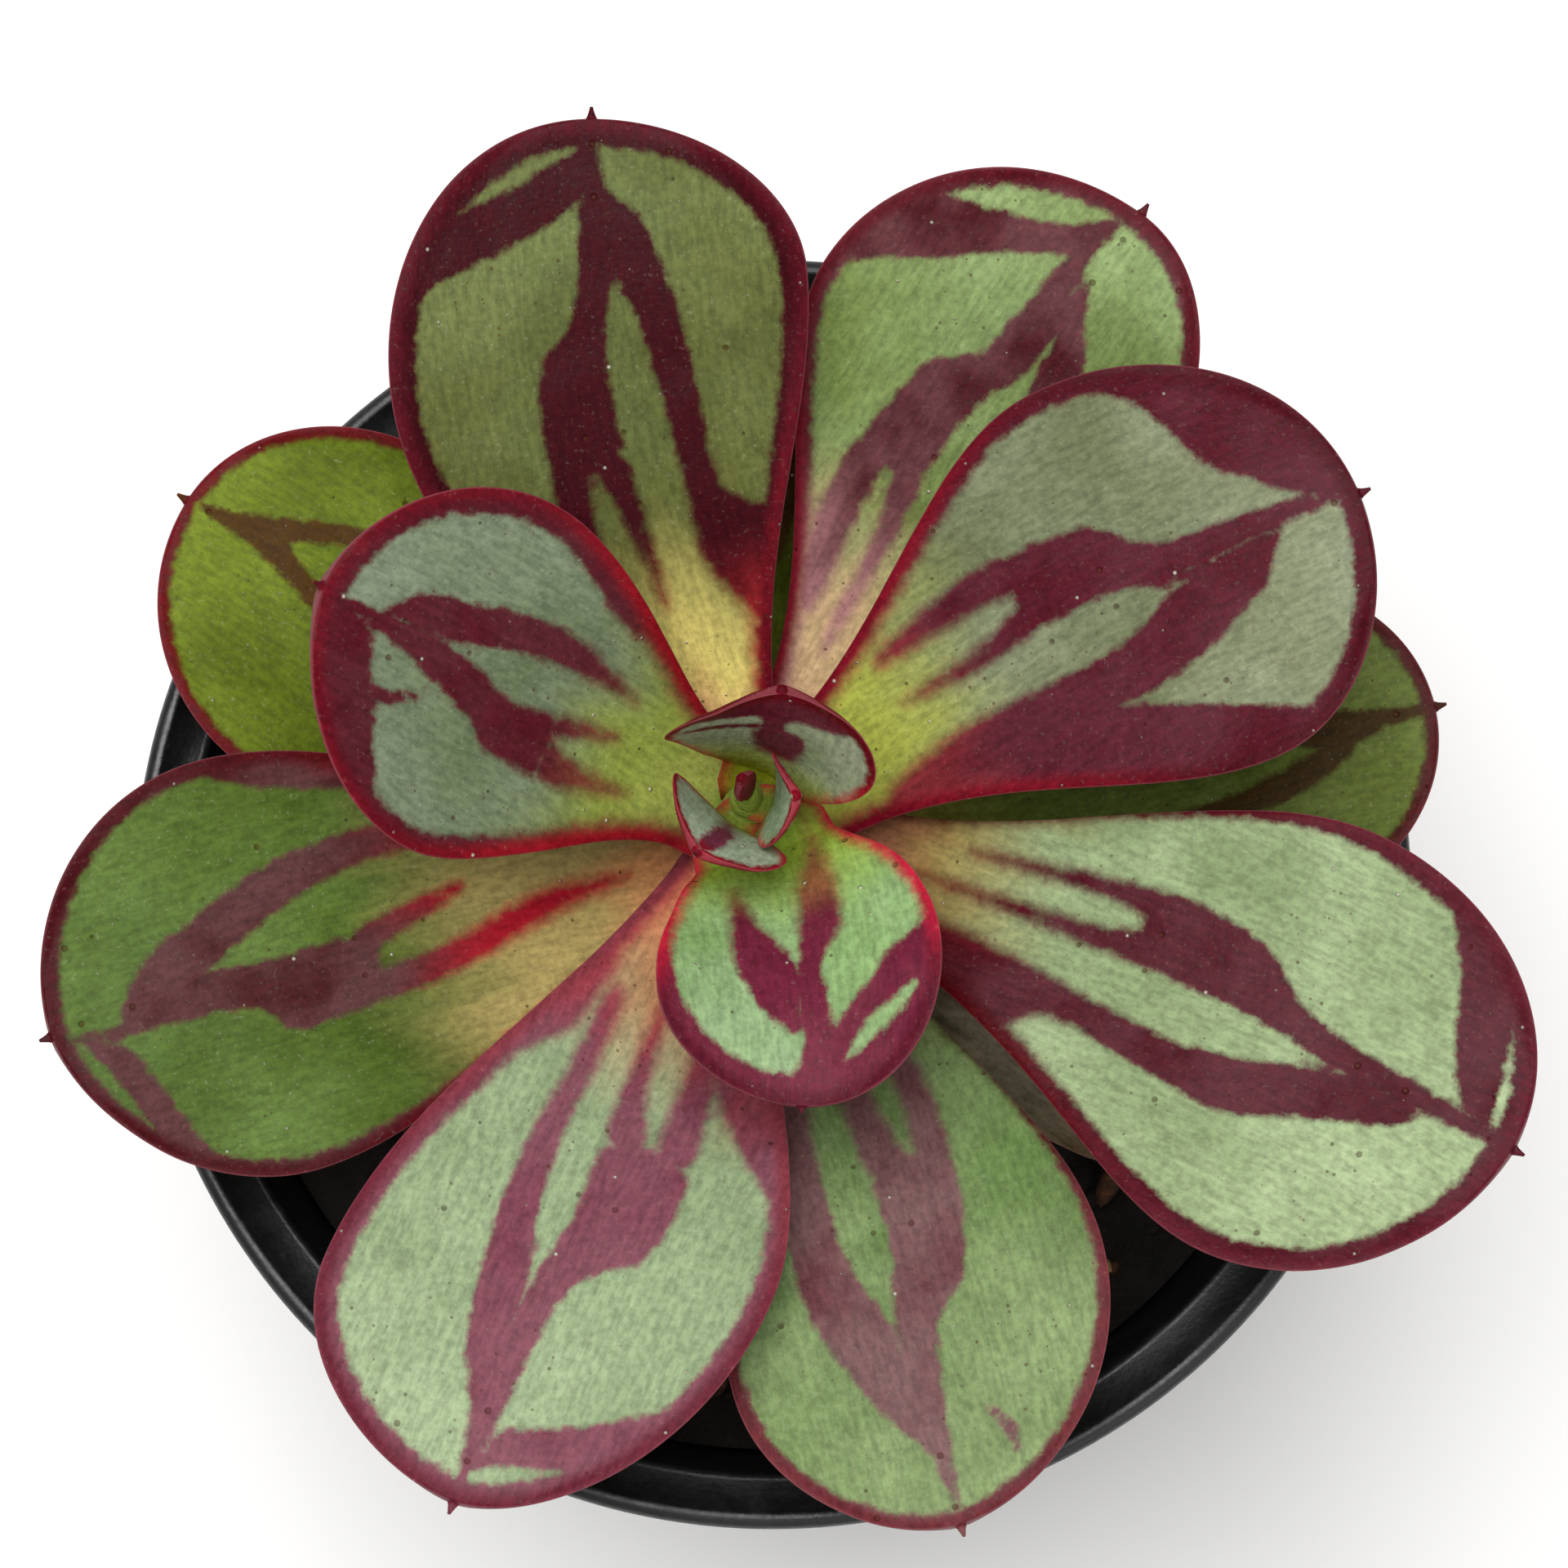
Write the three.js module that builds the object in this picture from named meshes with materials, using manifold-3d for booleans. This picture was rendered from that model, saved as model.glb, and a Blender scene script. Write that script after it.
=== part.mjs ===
// A potted echeveria: a rosette of fleshy painted leaves on a short stem, in a round nursery pot.
// Millimetres, +Z up. The origin is the middle of the pot's underside, on the surface it stands on.
// North is +Y and east is +X. A heading is an angle counter-clockwise from +X, in degrees.
import * as THREE from 'three';
import { mergeVertices } from 'three/addons/utils/BufferGeometryUtils.js';
import Module from 'manifold-3d';

const wasm = await Module();
wasm.setup();

// ---- driving dimensions: pot and soil -------------------------------------------------------------

const FIT_GAP = 0.3;              // left between pieces that touch

const POT_HEIGHT = 76;
const RIM_RADIUS = 45;            // outside of the rim's skirt
const BASE_RADIUS = 32;           // outside of the foot
const POT_WALL = 1.1;
const RIM_SKIRT = 9;              // how far the skirt hangs down outside the wall
const RIM_LEDGE = 3.9;            // from the skirt's outside in to the mouth
const RIM_FALL = 1.8;             // how far the ledge falls towards the mouth
const RIM_ROUND = 0.8;            // radius round the top of the rim
const FOOT_RISE = 3;              // how far the floor is raised, between the foot ring and the hub
const FOOT_RING = 2.5;            // width of the ring that the pot stands on
const HUB_RADIUS = 13;            // the middle of the floor comes down level with the ring
const DRAIN_HOLES = 6;
const DRAIN_RADIUS = 3;

const SOIL_DEPTH = 11;            // from the top of the rim down to the soil's edge
const SOIL_HEAP = 1.6;            // how far the soil heaps up round the stem
const PERLITE_CRUMBS = 6;
const PERLITE_RADIUS = 1.5;
const BARK_CHIPS = 5;
const BARK_LENGTH = 6;
const BARK_THICKNESS = 1.2;
const CRUMB_INNER = 9;            // the crumbs lie between these distances from the pot's axis
const CRUMB_OUTER = 34;

// ---- driving dimensions: plant --------------------------------------------------------------------

const STEM_RADIUS = 3.4;          // where it leaves the soil
const CROWN_RADIUS = 3;           // where it starts to taper into the growing point
const STEM_TIP_RADIUS = 0.7;
const STEM_EAST = -0.6;           // where it leaves the soil
const STEM_NORTH = 1.8;
const STEM_LEAN_EAST = -0.035;    // sideways travel for each millimetre of height
const STEM_LEAN_NORTH = 0.07;
const STEM_BURIED = 14;

const LEAF_THICKNESS = 2.9;
const YOUNG_THICKNESS = 2.2;
const CROWN_THICKNESS = 1.2;
const DRIED_THICKNESS = 1.2;
const MUCRO_LENGTH = 0.8;         // the small point at each leaf's tip
const MUCRO_RADIUS = 0.4;
const MUCRO_TIP = 0.12;
const UPPER_SHARE = 0.4;          // share of a leaf's thickness that lies above its midrib
const TIP_THINNING = 0.35;        // how much thinner the flesh is at the tip
const FULLEST_SECTION = 1.6;      // thickness never passes this many half widths
const LOWEST_FEET = 5;            // the lowest tier's feet are this far below the top of the rim
const SOIL_AIR = 2;               // the least air between the soil and the lowest feet
const TIER_GAP = 1.3;             // air between a leaf and the next one up the stem
const CROWN_TIER = 3.5;           // the tier at which the stem starts to taper
const LAST_TIER = 5.5;            // the tier at which the stem ends

// heading: where the tip points       bend: how far the blade turns sideways on its way there, if it does
// tier: place on the stem, from 0     start, end: slope of the midrib at the foot and the tip
// length: along the midrib            foot: half width where the leaf meets the stem
// left, right: half widths of the blade, seen from the foot
// widest: where, as a share           skew: how much nearer the tip the right side is widest, if it is
// swell: how late the blade widens    point: how pointed the end is, 1 is an ellipse's end
// cup: rise of the rim, as a share of the half width

const LEAVES = {
  leaf_dried: { heading: -34, tier: -0.5, start: 8, end: -4, foot: 1.8, thickness: DRIED_THICKNESS,
    length: 34, left: 5.5, right: 5.5, widest: 0.6, swell: 1.5, point: 1.1, cup: 0.1 },
  leaf_north_lower: { heading: 82, tier: -0.5, start: 18, end: 14, foot: 2.4, thickness: YOUNG_THICKNESS,
    length: 37, left: 8, right: 8, widest: 0.66, swell: 1.5, point: 1.1, cup: 0.1 },
  leaf_east_lower: { heading: 11.5, tier: 0, start: 14, end: 10, foot: 3.2,
    length: 45, left: 11, right: 11.5, widest: 0.74, swell: 1.5, point: 1, cup: 0.1 },
  leaf_north_west_lower: { heading: 149, tier: 0, start: 15, end: 10, foot: 3.6,
    length: 44, left: 14, right: 12, widest: 0.68, swell: 1.5, point: 1, cup: 0.1 },
  leaf_north_east: { heading: 57.5, bend: -8, tier: 1, start: 26, end: 14, foot: 4.2,
    length: 48, left: 16, right: 11.3, widest: 0.7, swell: 2.2, point: 1, cup: 0.14 },
  leaf_west_south_west: { heading: 197.5, bend: 8, tier: 1, start: 24, end: 12, foot: 3.8,
    length: 48, left: 14.5, right: 14.5, widest: 0.7, swell: 1.5, point: 1.1, cup: 0.14 },
  leaf_south_south_east: { heading: -74, tier: 1, start: 24, end: 10, foot: 3.9,
    length: 47, left: 14.5, right: 12.2, widest: 0.7, skew: 0.04, swell: 1.5, point: 1.1, cup: 0.14 },
  leaf_north: { heading: 102.5, bend: -25, tier: 2, start: 30, end: 12, foot: 4.2,
    length: 47.5, left: 15, right: 14, widest: 0.7, skew: 0.06, swell: 1.5, point: 1, cup: 0.14 },
  leaf_south_south_west: { heading: -113, bend: 6, tier: 2, start: 28, end: 10, foot: 4.2,
    length: 48.6, left: 14.6, right: 13.8, widest: 0.67, skew: -0.09, swell: 1.5, point: 1.15, cup: 0.14 },
  leaf_east_south_east: { heading: -25.2, bend: -12, tier: 2, start: 26, end: 12, foot: 4,
    length: 53.8, left: 14.4, right: 15.8, widest: 0.7, skew: 0.02, swell: 2, point: 1, cup: 0.14 },
  leaf_east_north_east: { heading: 26, bend: -10, tier: 3, start: 32, end: 12, foot: 4.2,
    length: 44, left: 15, right: 14, widest: 0.68, skew: 0.06, swell: 1.7, point: 1, cup: 0.14 },
  leaf_west_north_west: { heading: 155, bend: 8, tier: 3, start: 42, end: 24, foot: 4.2,
    length: 32.3, left: 13.6, right: 11.4, widest: 0.64, swell: 1.5, point: 1.1, cup: 0.2 },
  leaf_south_young: { heading: -82, bend: -22, tier: 4, start: 58, end: 0, foot: 5,
    thickness: YOUNG_THICKNESS, length: 20.8, left: 9.7, right: 9.3, widest: 0.57, skew: 0.05, swell: 1.1,
    point: 1, cup: 0.22 },
  leaf_crown_north: { heading: 75, bend: 26, tier: 4.6, start: 78, end: 64, foot: 3,
    thickness: CROWN_THICKNESS, length: 11.6, left: 7.2, right: 7, widest: 0.6, swell: 1.2, point: 1,
    cup: 0.34 },
  leaf_crown_south_west: { heading: 231, bend: -10, tier: 4.9, start: 82, end: 52, foot: 1.6,
    thickness: CROWN_THICKNESS, length: 8.2, left: 4.7, right: 4.8, widest: 0.55, swell: 1.2, point: 1.1,
    cup: 0.3 },
  leaf_crown_east: { heading: -6, bend: 30, tier: 5.2, start: 84, end: 74, foot: 1.4,
    thickness: CROWN_THICKNESS, length: 6.6, left: 3.2, right: 3.2, widest: 0.5, swell: 1.2, point: 1.3,
    cup: 0.34 },
  leaf_bud: { heading: 150, tier: 5.65, start: 90, end: 80, foot: 0.6, thickness: CROWN_THICKNESS,
    length: 4.5, left: 1.1, right: 1.1, widest: 0.4, swell: 1.2, point: 1.4, cup: 0 },
};

// ---- fineness of the solids -----------------------------------------------------------------------

const POT_SEGMENTS = 44;
const STEM_SEGMENTS = 20;
const RIM_ARC_STEPS = 3;
const BLADE_STATIONS = 7;         // from the foot to the widest place
const TIP_STATIONS = 6;           // from the widest place to the tip
const LEAF_SIDES = 10;            // points round a leaf's section

// ---- worked out from the driving dimensions -------------------------------------------------------

const SOIL_LEVEL = POT_HEIGHT - SOIL_DEPTH;
const MOUTH_RADIUS = RIM_RADIUS - RIM_LEDGE;
const MOUTH_LEVEL = POT_HEIGHT - RIM_FALL;
const FLOOR_TOP = FOOT_RISE + POT_WALL;
const FLOOR_RADIUS = BASE_RADIUS - POT_WALL;
const DRAIN_CIRCLE = (HUB_RADIUS + BASE_RADIUS - FOOT_RING) / 2;
const TIER_STEP = LEAF_THICKNESS + TIER_GAP;
const CROWN_LEVEL = tierLevel(CROWN_TIER);
const STEM_TOP = tierLevel(LAST_TIER);

const radians = THREE.MathUtils.degToRad;
const mix = THREE.MathUtils.lerp;

// The lowest leaves clear the rim, however deep the soil lies, and the soil, however high it stands.
function tierLevel(tier) {
  const aboveSoil = SOIL_LEVEL + SOIL_HEAP + SOIL_AIR + LEAF_THICKNESS / 2;
  return Math.max(POT_HEIGHT - LOWEST_FEET, aboveSoil) + tier * TIER_STEP;
}

// ---- materials ------------------------------------------------------------------------------------

function finish(color, roughness) {
  return new THREE.MeshStandardMaterial({ color, roughness, metalness: 0 });
}

const potPlastic = finish(0x15161a, 0.42);
const soilBrown = finish(0x2a2019, 0.95);
const stemBrown = finish(0x6b5a3a, 0.85);
const paintedLeaf = finish(0x7d9a62, 0.5);
const youngLeaf = finish(0x9cc48f, 0.5);
const oldLeaf = finish(0x6f8a1f, 0.5);
const driedLeaf = finish(0x9a8c72, 0.9);
const perlite = finish(0xe6ddc9, 0.9);
const bark = finish(0x7a4a28, 0.9);

const LEAF_FINISH = {
  leaf_dried: driedLeaf,
  leaf_north_lower: oldLeaf,
  leaf_east_lower: oldLeaf,
  leaf_north_west_lower: oldLeaf,
  leaf_south_young: youngLeaf,
  leaf_crown_north: youngLeaf,
  leaf_crown_south_west: youngLeaf,
  leaf_crown_east: youngLeaf,
  leaf_bud: youngLeaf,
};

// ---- solids and booleans --------------------------------------------------------------------------

function meshFrom(positions, indices) {
  const geometry = new THREE.BufferGeometry();
  geometry.setAttribute('position', new THREE.Float32BufferAttribute(positions, 3));
  geometry.setIndex(indices);
  geometry.computeVertexNormals();
  return geometry;
}

function solid(geometry) {
  const bare = geometry.clone();
  bare.deleteAttribute('normal');
  bare.deleteAttribute('uv');
  const merged = mergeVertices(bare, 1e-4);
  return new wasm.Manifold(new wasm.Mesh({
    numProp: 3,
    vertProperties: new Float32Array(merged.attributes.position.array),
    triVerts: new Uint32Array(merged.index.array),
  }));
}

function geometryOf(manifold) {
  const mesh = manifold.getMesh();
  return meshFrom(Array.from(mesh.vertProperties), Array.from(mesh.triVerts));
}

function cylinderAt(radiusTop, radiusBottom, height, segments, x, y, z) {
  const geometry = new THREE.CylinderGeometry(radiusTop, radiusBottom, height, segments);
  geometry.rotateX(Math.PI / 2);
  geometry.translate(x, y, z);
  return geometry;
}

function lathe(profile) {
  const geometry = new THREE.LatheGeometry(profile, POT_SEGMENTS);
  geometry.rotateX(Math.PI / 2);
  return geometry;
}

// ---- pot ------------------------------------------------------------------------------------------

function innerWall(z) {
  return mix(FLOOR_RADIUS, MOUTH_RADIUS, (z - FLOOR_TOP) / (MOUTH_LEVEL - FLOOR_TOP));
}

function rimArc() {
  const points = [];
  for (let i = 0; i <= RIM_ARC_STEPS; i += 1) {
    const turn = (i / RIM_ARC_STEPS) * Math.PI / 2;
    points.push([
      RIM_RADIUS - RIM_ROUND + RIM_ROUND * Math.cos(turn),
      POT_HEIGHT - RIM_ROUND + RIM_ROUND * Math.sin(turn),
    ]);
  }
  return points;
}

function potProfile() {
  const ringInside = BASE_RADIUS - FOOT_RING;
  const ledgeUnder = MOUTH_LEVEL - POT_WALL;
  const skirtInside = RIM_RADIUS - POT_WALL;
  const outline = [
    [0, 0],
    [HUB_RADIUS, 0],
    [HUB_RADIUS + POT_WALL, FOOT_RISE],
    [ringInside - POT_WALL, FOOT_RISE],
    [ringInside, 0],
    [BASE_RADIUS, 0],
    [innerWall(FLOOR_TOP) + POT_WALL, FLOOR_TOP],
    [innerWall(ledgeUnder) + POT_WALL, ledgeUnder],
    [skirtInside, ledgeUnder],
    [skirtInside, POT_HEIGHT - RIM_SKIRT],
    [RIM_RADIUS, POT_HEIGHT - RIM_SKIRT],
    ...rimArc(),
    [MOUTH_RADIUS + POT_WALL / 2, MOUTH_LEVEL + POT_WALL / 4],
    [MOUTH_RADIUS, MOUTH_LEVEL - POT_WALL / 4],
    [FLOOR_RADIUS, FLOOR_TOP],
    [HUB_RADIUS, FLOOR_TOP],
    [HUB_RADIUS - POT_WALL, POT_WALL],
    [0, POT_WALL],
  ];
  return outline.map(([r, z]) => new THREE.Vector2(r, z));
}

function pot() {
  let body = solid(lathe(potProfile()));
  for (let i = 0; i < DRAIN_HOLES; i += 1) {
    const turn = (i / DRAIN_HOLES) * Math.PI * 2;
    const x = DRAIN_CIRCLE * Math.cos(turn);
    const y = DRAIN_CIRCLE * Math.sin(turn);
    const hole = cylinderAt(DRAIN_RADIUS, DRAIN_RADIUS, FLOOR_TOP * 2, 16, x, y, FLOOR_TOP);
    body = body.subtract(solid(hole));
  }
  return geometryOf(body);
}

// ---- stem and soil --------------------------------------------------------------------------------

function stemAxis(z) {
  const rise = z - SOIL_LEVEL;
  return new THREE.Vector3(STEM_EAST + STEM_LEAN_EAST * rise, STEM_NORTH + STEM_LEAN_NORTH * rise, z);
}

function stemRadius(z) {
  if (z > CROWN_LEVEL) {
    return mix(CROWN_RADIUS, STEM_TIP_RADIUS, Math.min(1, (z - CROWN_LEVEL) / (STEM_TOP - CROWN_LEVEL)));
  }
  return mix(STEM_RADIUS, CROWN_RADIUS, Math.max(0, (z - SOIL_LEVEL) / (CROWN_LEVEL - SOIL_LEVEL)));
}

// The stem's own surface, or one that stands the given margin outside it.
function stem(margin) {
  const levels = [SOIL_LEVEL - STEM_BURIED - margin, SOIL_LEVEL, CROWN_LEVEL, STEM_TOP + margin];
  const positions = [];
  const indices = [];
  for (const z of levels) {
    const middle = stemAxis(z);
    for (let j = 0; j < STEM_SEGMENTS; j += 1) {
      const turn = (j / STEM_SEGMENTS) * Math.PI * 2;
      const radius = stemRadius(z) + margin;
      positions.push(middle.x + radius * Math.cos(turn), middle.y + radius * Math.sin(turn), z);
    }
  }
  closeRings(indices, levels.length, STEM_SEGMENTS);
  return meshFrom(positions, indices);
}

// Joins rings of points, in order, into a closed skin with a flat cap on each end.
function closeRings(indices, rings, sides) {
  for (let i = 0; i + 1 < rings; i += 1) {
    for (let j = 0; j < sides; j += 1) {
      const next = (j + 1) % sides;
      const a = i * sides + j;
      const b = i * sides + next;
      indices.push(a, b, b + sides, a, b + sides, a + sides);
    }
  }
  const last = (rings - 1) * sides;
  for (let j = 1; j + 1 < sides; j += 1) {
    indices.push(0, j + 1, j);
    indices.push(last, last + j, last + j + 1);
  }
}

function soilHeight(radius) {
  return SOIL_LEVEL + SOIL_HEAP * (1 - (radius / innerWall(SOIL_LEVEL)) ** 2);
}

function pottingMix() {
  const edge = innerWall(SOIL_LEVEL) - FIT_GAP;
  const bottom = FLOOR_TOP + FIT_GAP;
  const hub = HUB_RADIUS - POT_WALL - FIT_GAP;
  const outline = [[0, POT_WALL + FIT_GAP], [hub, POT_WALL + FIT_GAP], [HUB_RADIUS - FIT_GAP, bottom],
    [innerWall(bottom) - FIT_GAP, bottom], [edge, SOIL_LEVEL]];
  for (const share of [0.8, 0.6, 0.4, 0.2, 0]) {
    outline.push([edge * share, soilHeight(edge * share)]);
  }
  const block = solid(lathe(outline.map(([r, z]) => new THREE.Vector2(r, z))));
  return geometryOf(block.subtract(solid(stem(FIT_GAP))));
}

// ---- crumbs on the soil ---------------------------------------------------------------------------

// A spot on the soil: the crumbs spread out in a sunflower spiral that starts clear of the stem.
function spot(index, count, shift) {
  const turn = radians(137.5 * index + shift);
  const radius = mix(CRUMB_INNER, CRUMB_OUTER, (index + 0.5) / count);
  return { turn, radius, x: radius * Math.cos(turn), y: radius * Math.sin(turn) };
}

// The level that a crumb of this half length rests at: the highest soil under it, and the gap.
function restingLevel(radius, halfLength) {
  return soilHeight(Math.max(0, radius - halfLength)) + FIT_GAP;
}

function perliteCrumb(index) {
  const at = spot(index, PERLITE_CRUMBS, 200);
  const geometry = new THREE.IcosahedronGeometry(PERLITE_RADIUS, 1);
  geometry.deleteAttribute('normal');
  geometry.deleteAttribute('uv');
  const crumb = mergeVertices(geometry, 1e-4);
  const spots = crumb.attributes.position;
  for (let i = 0; i < spots.count; i += 1) {
    const swell = 0.85 + 0.15 * Math.sin(7 * i + 3 * index);
    spots.setXYZ(i, spots.getX(i) * swell, spots.getY(i) * swell, spots.getZ(i) * swell * 0.8);
  }
  crumb.rotateZ(at.turn);
  crumb.translate(at.x, at.y, restingLevel(at.radius, PERLITE_RADIUS) + PERLITE_RADIUS * 0.8);
  return crumb;
}

function barkChip(index) {
  const at = spot(index, BARK_CHIPS, 130);
  const half = BARK_LENGTH / 2;
  const wide = BARK_LENGTH / 4;
  const outline = [
    [-half, -wide * 0.4],
    [-half * 0.3, -wide],
    [half * 0.8, -wide * 0.8],
    [half, wide * 0.3],
    [half * 0.2, wide],
    [-half * 0.7, wide * 0.7],
  ];
  const shape = new THREE.Shape(outline.map(([x, y]) => new THREE.Vector2(x, y)));
  const chip = new THREE.ExtrudeGeometry(shape, { depth: BARK_THICKNESS, bevelEnabled: false });
  chip.rotateZ(at.turn * 1.7);
  chip.translate(at.x, at.y, restingLevel(at.radius, half));
  return chip;
}

// ---- leaves ---------------------------------------------------------------------------------------

// Half width at a share s of the length: an even swelling up to the widest place, then a rounded end.
function halfWidth(s, leaf, side) {
  const half = side > 0 ? leaf.left : leaf.right;
  const widest = leaf.widest - Math.sign(side) * leaf.skew;
  if (s < widest) {
    return leaf.foot + (half - leaf.foot) * Math.sin((Math.PI / 2) * (s / widest) ** leaf.swell);
  }
  const k = (s - widest) / (1 - widest);
  return Math.max(MUCRO_RADIUS, half * Math.max(0, 1 - k * k) ** (leaf.point / 2));
}

function stations(widest) {
  const shares = [];
  for (let i = 0; i < BLADE_STATIONS; i += 1) {
    shares.push(widest * i / BLADE_STATIONS);
  }
  for (let i = 0; i <= TIP_STATIONS; i += 1) {
    shares.push(mix(widest, 1, Math.sin((i / TIP_STATIONS) * Math.PI / 2)));
  }
  return shares;
}

// The midrib as a frame at each station: place, direction, left side and upper side.
function midrib(leaf, foot, shares) {
  const frames = [];
  const place = foot.clone();
  let walked = 0;
  const fine = 200;
  for (const share of shares) {
    let direction = null;
    for (; ;) {
      const slope = radians(mix(leaf.start, leaf.end, walked));
      const heading = radians(leaf.heading + leaf.bend * (walked - 0.5));
      direction = new THREE.Vector3(
        Math.cos(slope) * Math.cos(heading), Math.cos(slope) * Math.sin(heading), Math.sin(slope));
      if (walked >= share - 1e-9) {
        break;
      }
      const step = Math.min(1 / fine, share - walked);
      place.addScaledVector(direction, step * leaf.length);
      walked += step;
    }
    const heading = radians(leaf.heading + leaf.bend * (walked - 0.5));
    const left = new THREE.Vector3(-Math.sin(heading), Math.cos(heading), 0);
    frames.push({ place: place.clone(), direction, left, upper: direction.clone().cross(left) });
  }
  return frames;
}

// One ring of points round the leaf, added to positions: half widths to its left and right, and depth.
function leafSection(positions, leaf, frame, halves, deep) {
  for (let j = 0; j < LEAF_SIDES; j += 1) {
    const turn = (j / LEAF_SIDES) * Math.PI * 2;
    const across = Math.cos(turn);
    const width = halves[across > 0 ? 0 : 1];
    const flesh = deep * Math.sin(turn) * (Math.sin(turn) > 0 ? UPPER_SHARE : 1 - UPPER_SHARE);
    const point = frame.place.clone();
    point.addScaledVector(frame.left, width * across);
    point.addScaledVector(frame.upper, leaf.cup * width * across * across + flesh);
    positions.push(point.x, point.y, point.z);
  }
}

function leafSolid(row) {
  const leaf = { bend: 0, skew: 0, thickness: LEAF_THICKNESS, ...row };
  const shares = stations(leaf.widest);
  const frames = midrib(leaf, leafFoot(leaf), shares);
  const positions = [];
  frames.forEach((frame, i) => {
    const halves = [halfWidth(shares[i], leaf, 1), halfWidth(shares[i], leaf, -1)];
    const flesh = leaf.thickness * (1 - TIP_THINNING * shares[i]);
    const deep = Math.min(flesh, FULLEST_SECTION * Math.min(...halves));
    leafSection(positions, leaf, frame, halves, deep);
  });
  const end = frames[frames.length - 1];
  const point = { ...end, place: end.place.clone().addScaledVector(end.direction, MUCRO_LENGTH) };
  leafSection(positions, leaf, point, [MUCRO_TIP, MUCRO_TIP], FULLEST_SECTION * MUCRO_TIP);
  const indices = [];
  closeRings(indices, frames.length + 1, LEAF_SIDES);
  return meshFrom(positions, indices);
}

// The foot stands off the stem far enough for the leaf to clear it; the bud stands on the stem's end.
function leafFoot(leaf) {
  const z = tierLevel(leaf.tier);
  const inward = leaf.thickness * (1 - UPPER_SHARE) * Math.sin(radians(leaf.start));
  const reach = leaf.tier > LAST_TIER ? 0 : stemRadius(z) + FIT_GAP + inward;
  const heading = radians(leaf.heading - leaf.bend / 2);
  return stemAxis(z).add(new THREE.Vector3(reach * Math.cos(heading), reach * Math.sin(heading), 0));
}

// ---- assembly -------------------------------------------------------------------------------------

const plantInPot = new THREE.Group();

function place(name, geometry, material) {
  const mesh = new THREE.Mesh(geometry, material);
  mesh.name = name;
  plantInPot.add(mesh);
}

place('pot', pot(), potPlastic);
place('potting_mix', pottingMix(), soilBrown);
place('stem', stem(0), stemBrown);

for (let i = 0; i < PERLITE_CRUMBS; i += 1) {
  place(`perlite_crumb_${i + 1}`, perliteCrumb(i), perlite);
}
for (let i = 0; i < BARK_CHIPS; i += 1) {
  place(`bark_chip_${i + 1}`, barkChip(i), bark);
}

for (const [name, leaf] of Object.entries(LEAVES)) {
  place(name, leafSolid(leaf), LEAF_FINISH[name] ?? paintedLeaf);
}

export default plantInPot;
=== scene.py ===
"""A potted echeveria: the looks of the plant and its nursery pot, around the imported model.

The tables are in millimetres and degrees. North is +Y, east is +X, and a heading is counter-clockwise
from +X. Colours are written as sRGB hex strings and turned into linear values where they are used.
"""
import math

import bmesh
import bpy
import numpy as np
from mathutils import Matrix, Vector


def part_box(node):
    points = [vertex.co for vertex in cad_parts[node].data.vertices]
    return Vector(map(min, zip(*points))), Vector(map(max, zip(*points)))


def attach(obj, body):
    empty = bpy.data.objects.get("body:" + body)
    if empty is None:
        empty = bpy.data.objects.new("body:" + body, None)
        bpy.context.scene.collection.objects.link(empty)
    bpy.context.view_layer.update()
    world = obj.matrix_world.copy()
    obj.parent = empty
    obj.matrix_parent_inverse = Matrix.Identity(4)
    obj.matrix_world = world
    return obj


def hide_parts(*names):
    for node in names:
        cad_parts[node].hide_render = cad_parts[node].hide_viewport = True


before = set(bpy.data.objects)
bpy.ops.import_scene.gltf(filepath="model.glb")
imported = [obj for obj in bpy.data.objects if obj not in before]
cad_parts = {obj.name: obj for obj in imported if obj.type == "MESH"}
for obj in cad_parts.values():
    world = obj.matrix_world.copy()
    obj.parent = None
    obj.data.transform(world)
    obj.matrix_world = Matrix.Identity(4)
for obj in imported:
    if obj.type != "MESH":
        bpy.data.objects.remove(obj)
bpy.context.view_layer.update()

MM = 0.001
BODY = "root"

# ---- pot, soil and stem: the model's own sizes -----------------------------------------------------

POT_HEIGHT = 76.0
RIM_RADIUS = 45.0
BASE_RADIUS = 32.0
POT_WALL = 1.1
RIM_SKIRT = 9.0
RIM_LEDGE = 3.9
RIM_FALL = 1.8
RIM_ROUND = 0.8
FOOT_RISE = 3.0
FOOT_RING = 2.5
HUB_RADIUS = 13.0
DRAIN_HOLES = 6
DRAIN_RADIUS = 3.0
SOIL_DEPTH = 11.0
SOIL_HEAP = 1.6
FIT_GAP = 0.3

SOIL_LEVEL = POT_HEIGHT - SOIL_DEPTH
MOUTH_RADIUS = RIM_RADIUS - RIM_LEDGE
MOUTH_LEVEL = POT_HEIGHT - RIM_FALL
FLOOR_TOP = FOOT_RISE + POT_WALL
FLOOR_RADIUS = BASE_RADIUS - POT_WALL
DRAIN_CIRCLE = (HUB_RADIUS + BASE_RADIUS - FOOT_RING) / 2

STEM_RADIUS = 3.4
CROWN_RADIUS = 3.0
STEM_TIP_RADIUS = 0.7
STEM_EAST = -0.6
STEM_NORTH = 1.8
STEM_LEAN_EAST = -0.035
STEM_LEAN_NORTH = 0.07
STEM_BURIED = 14.0
LOWEST_LEVEL = 71.0               # of tier 0 on the stem
TIER_STEP = 4.2
CROWN_TIER = 3.5
LAST_TIER = 5.5
CROWN_LEVEL = LOWEST_LEVEL + CROWN_TIER * TIER_STEP
STEM_TOP = LOWEST_LEVEL + LAST_TIER * TIER_STEP

# ---- leaves: the model's own sizes -----------------------------------------------------------------

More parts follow.
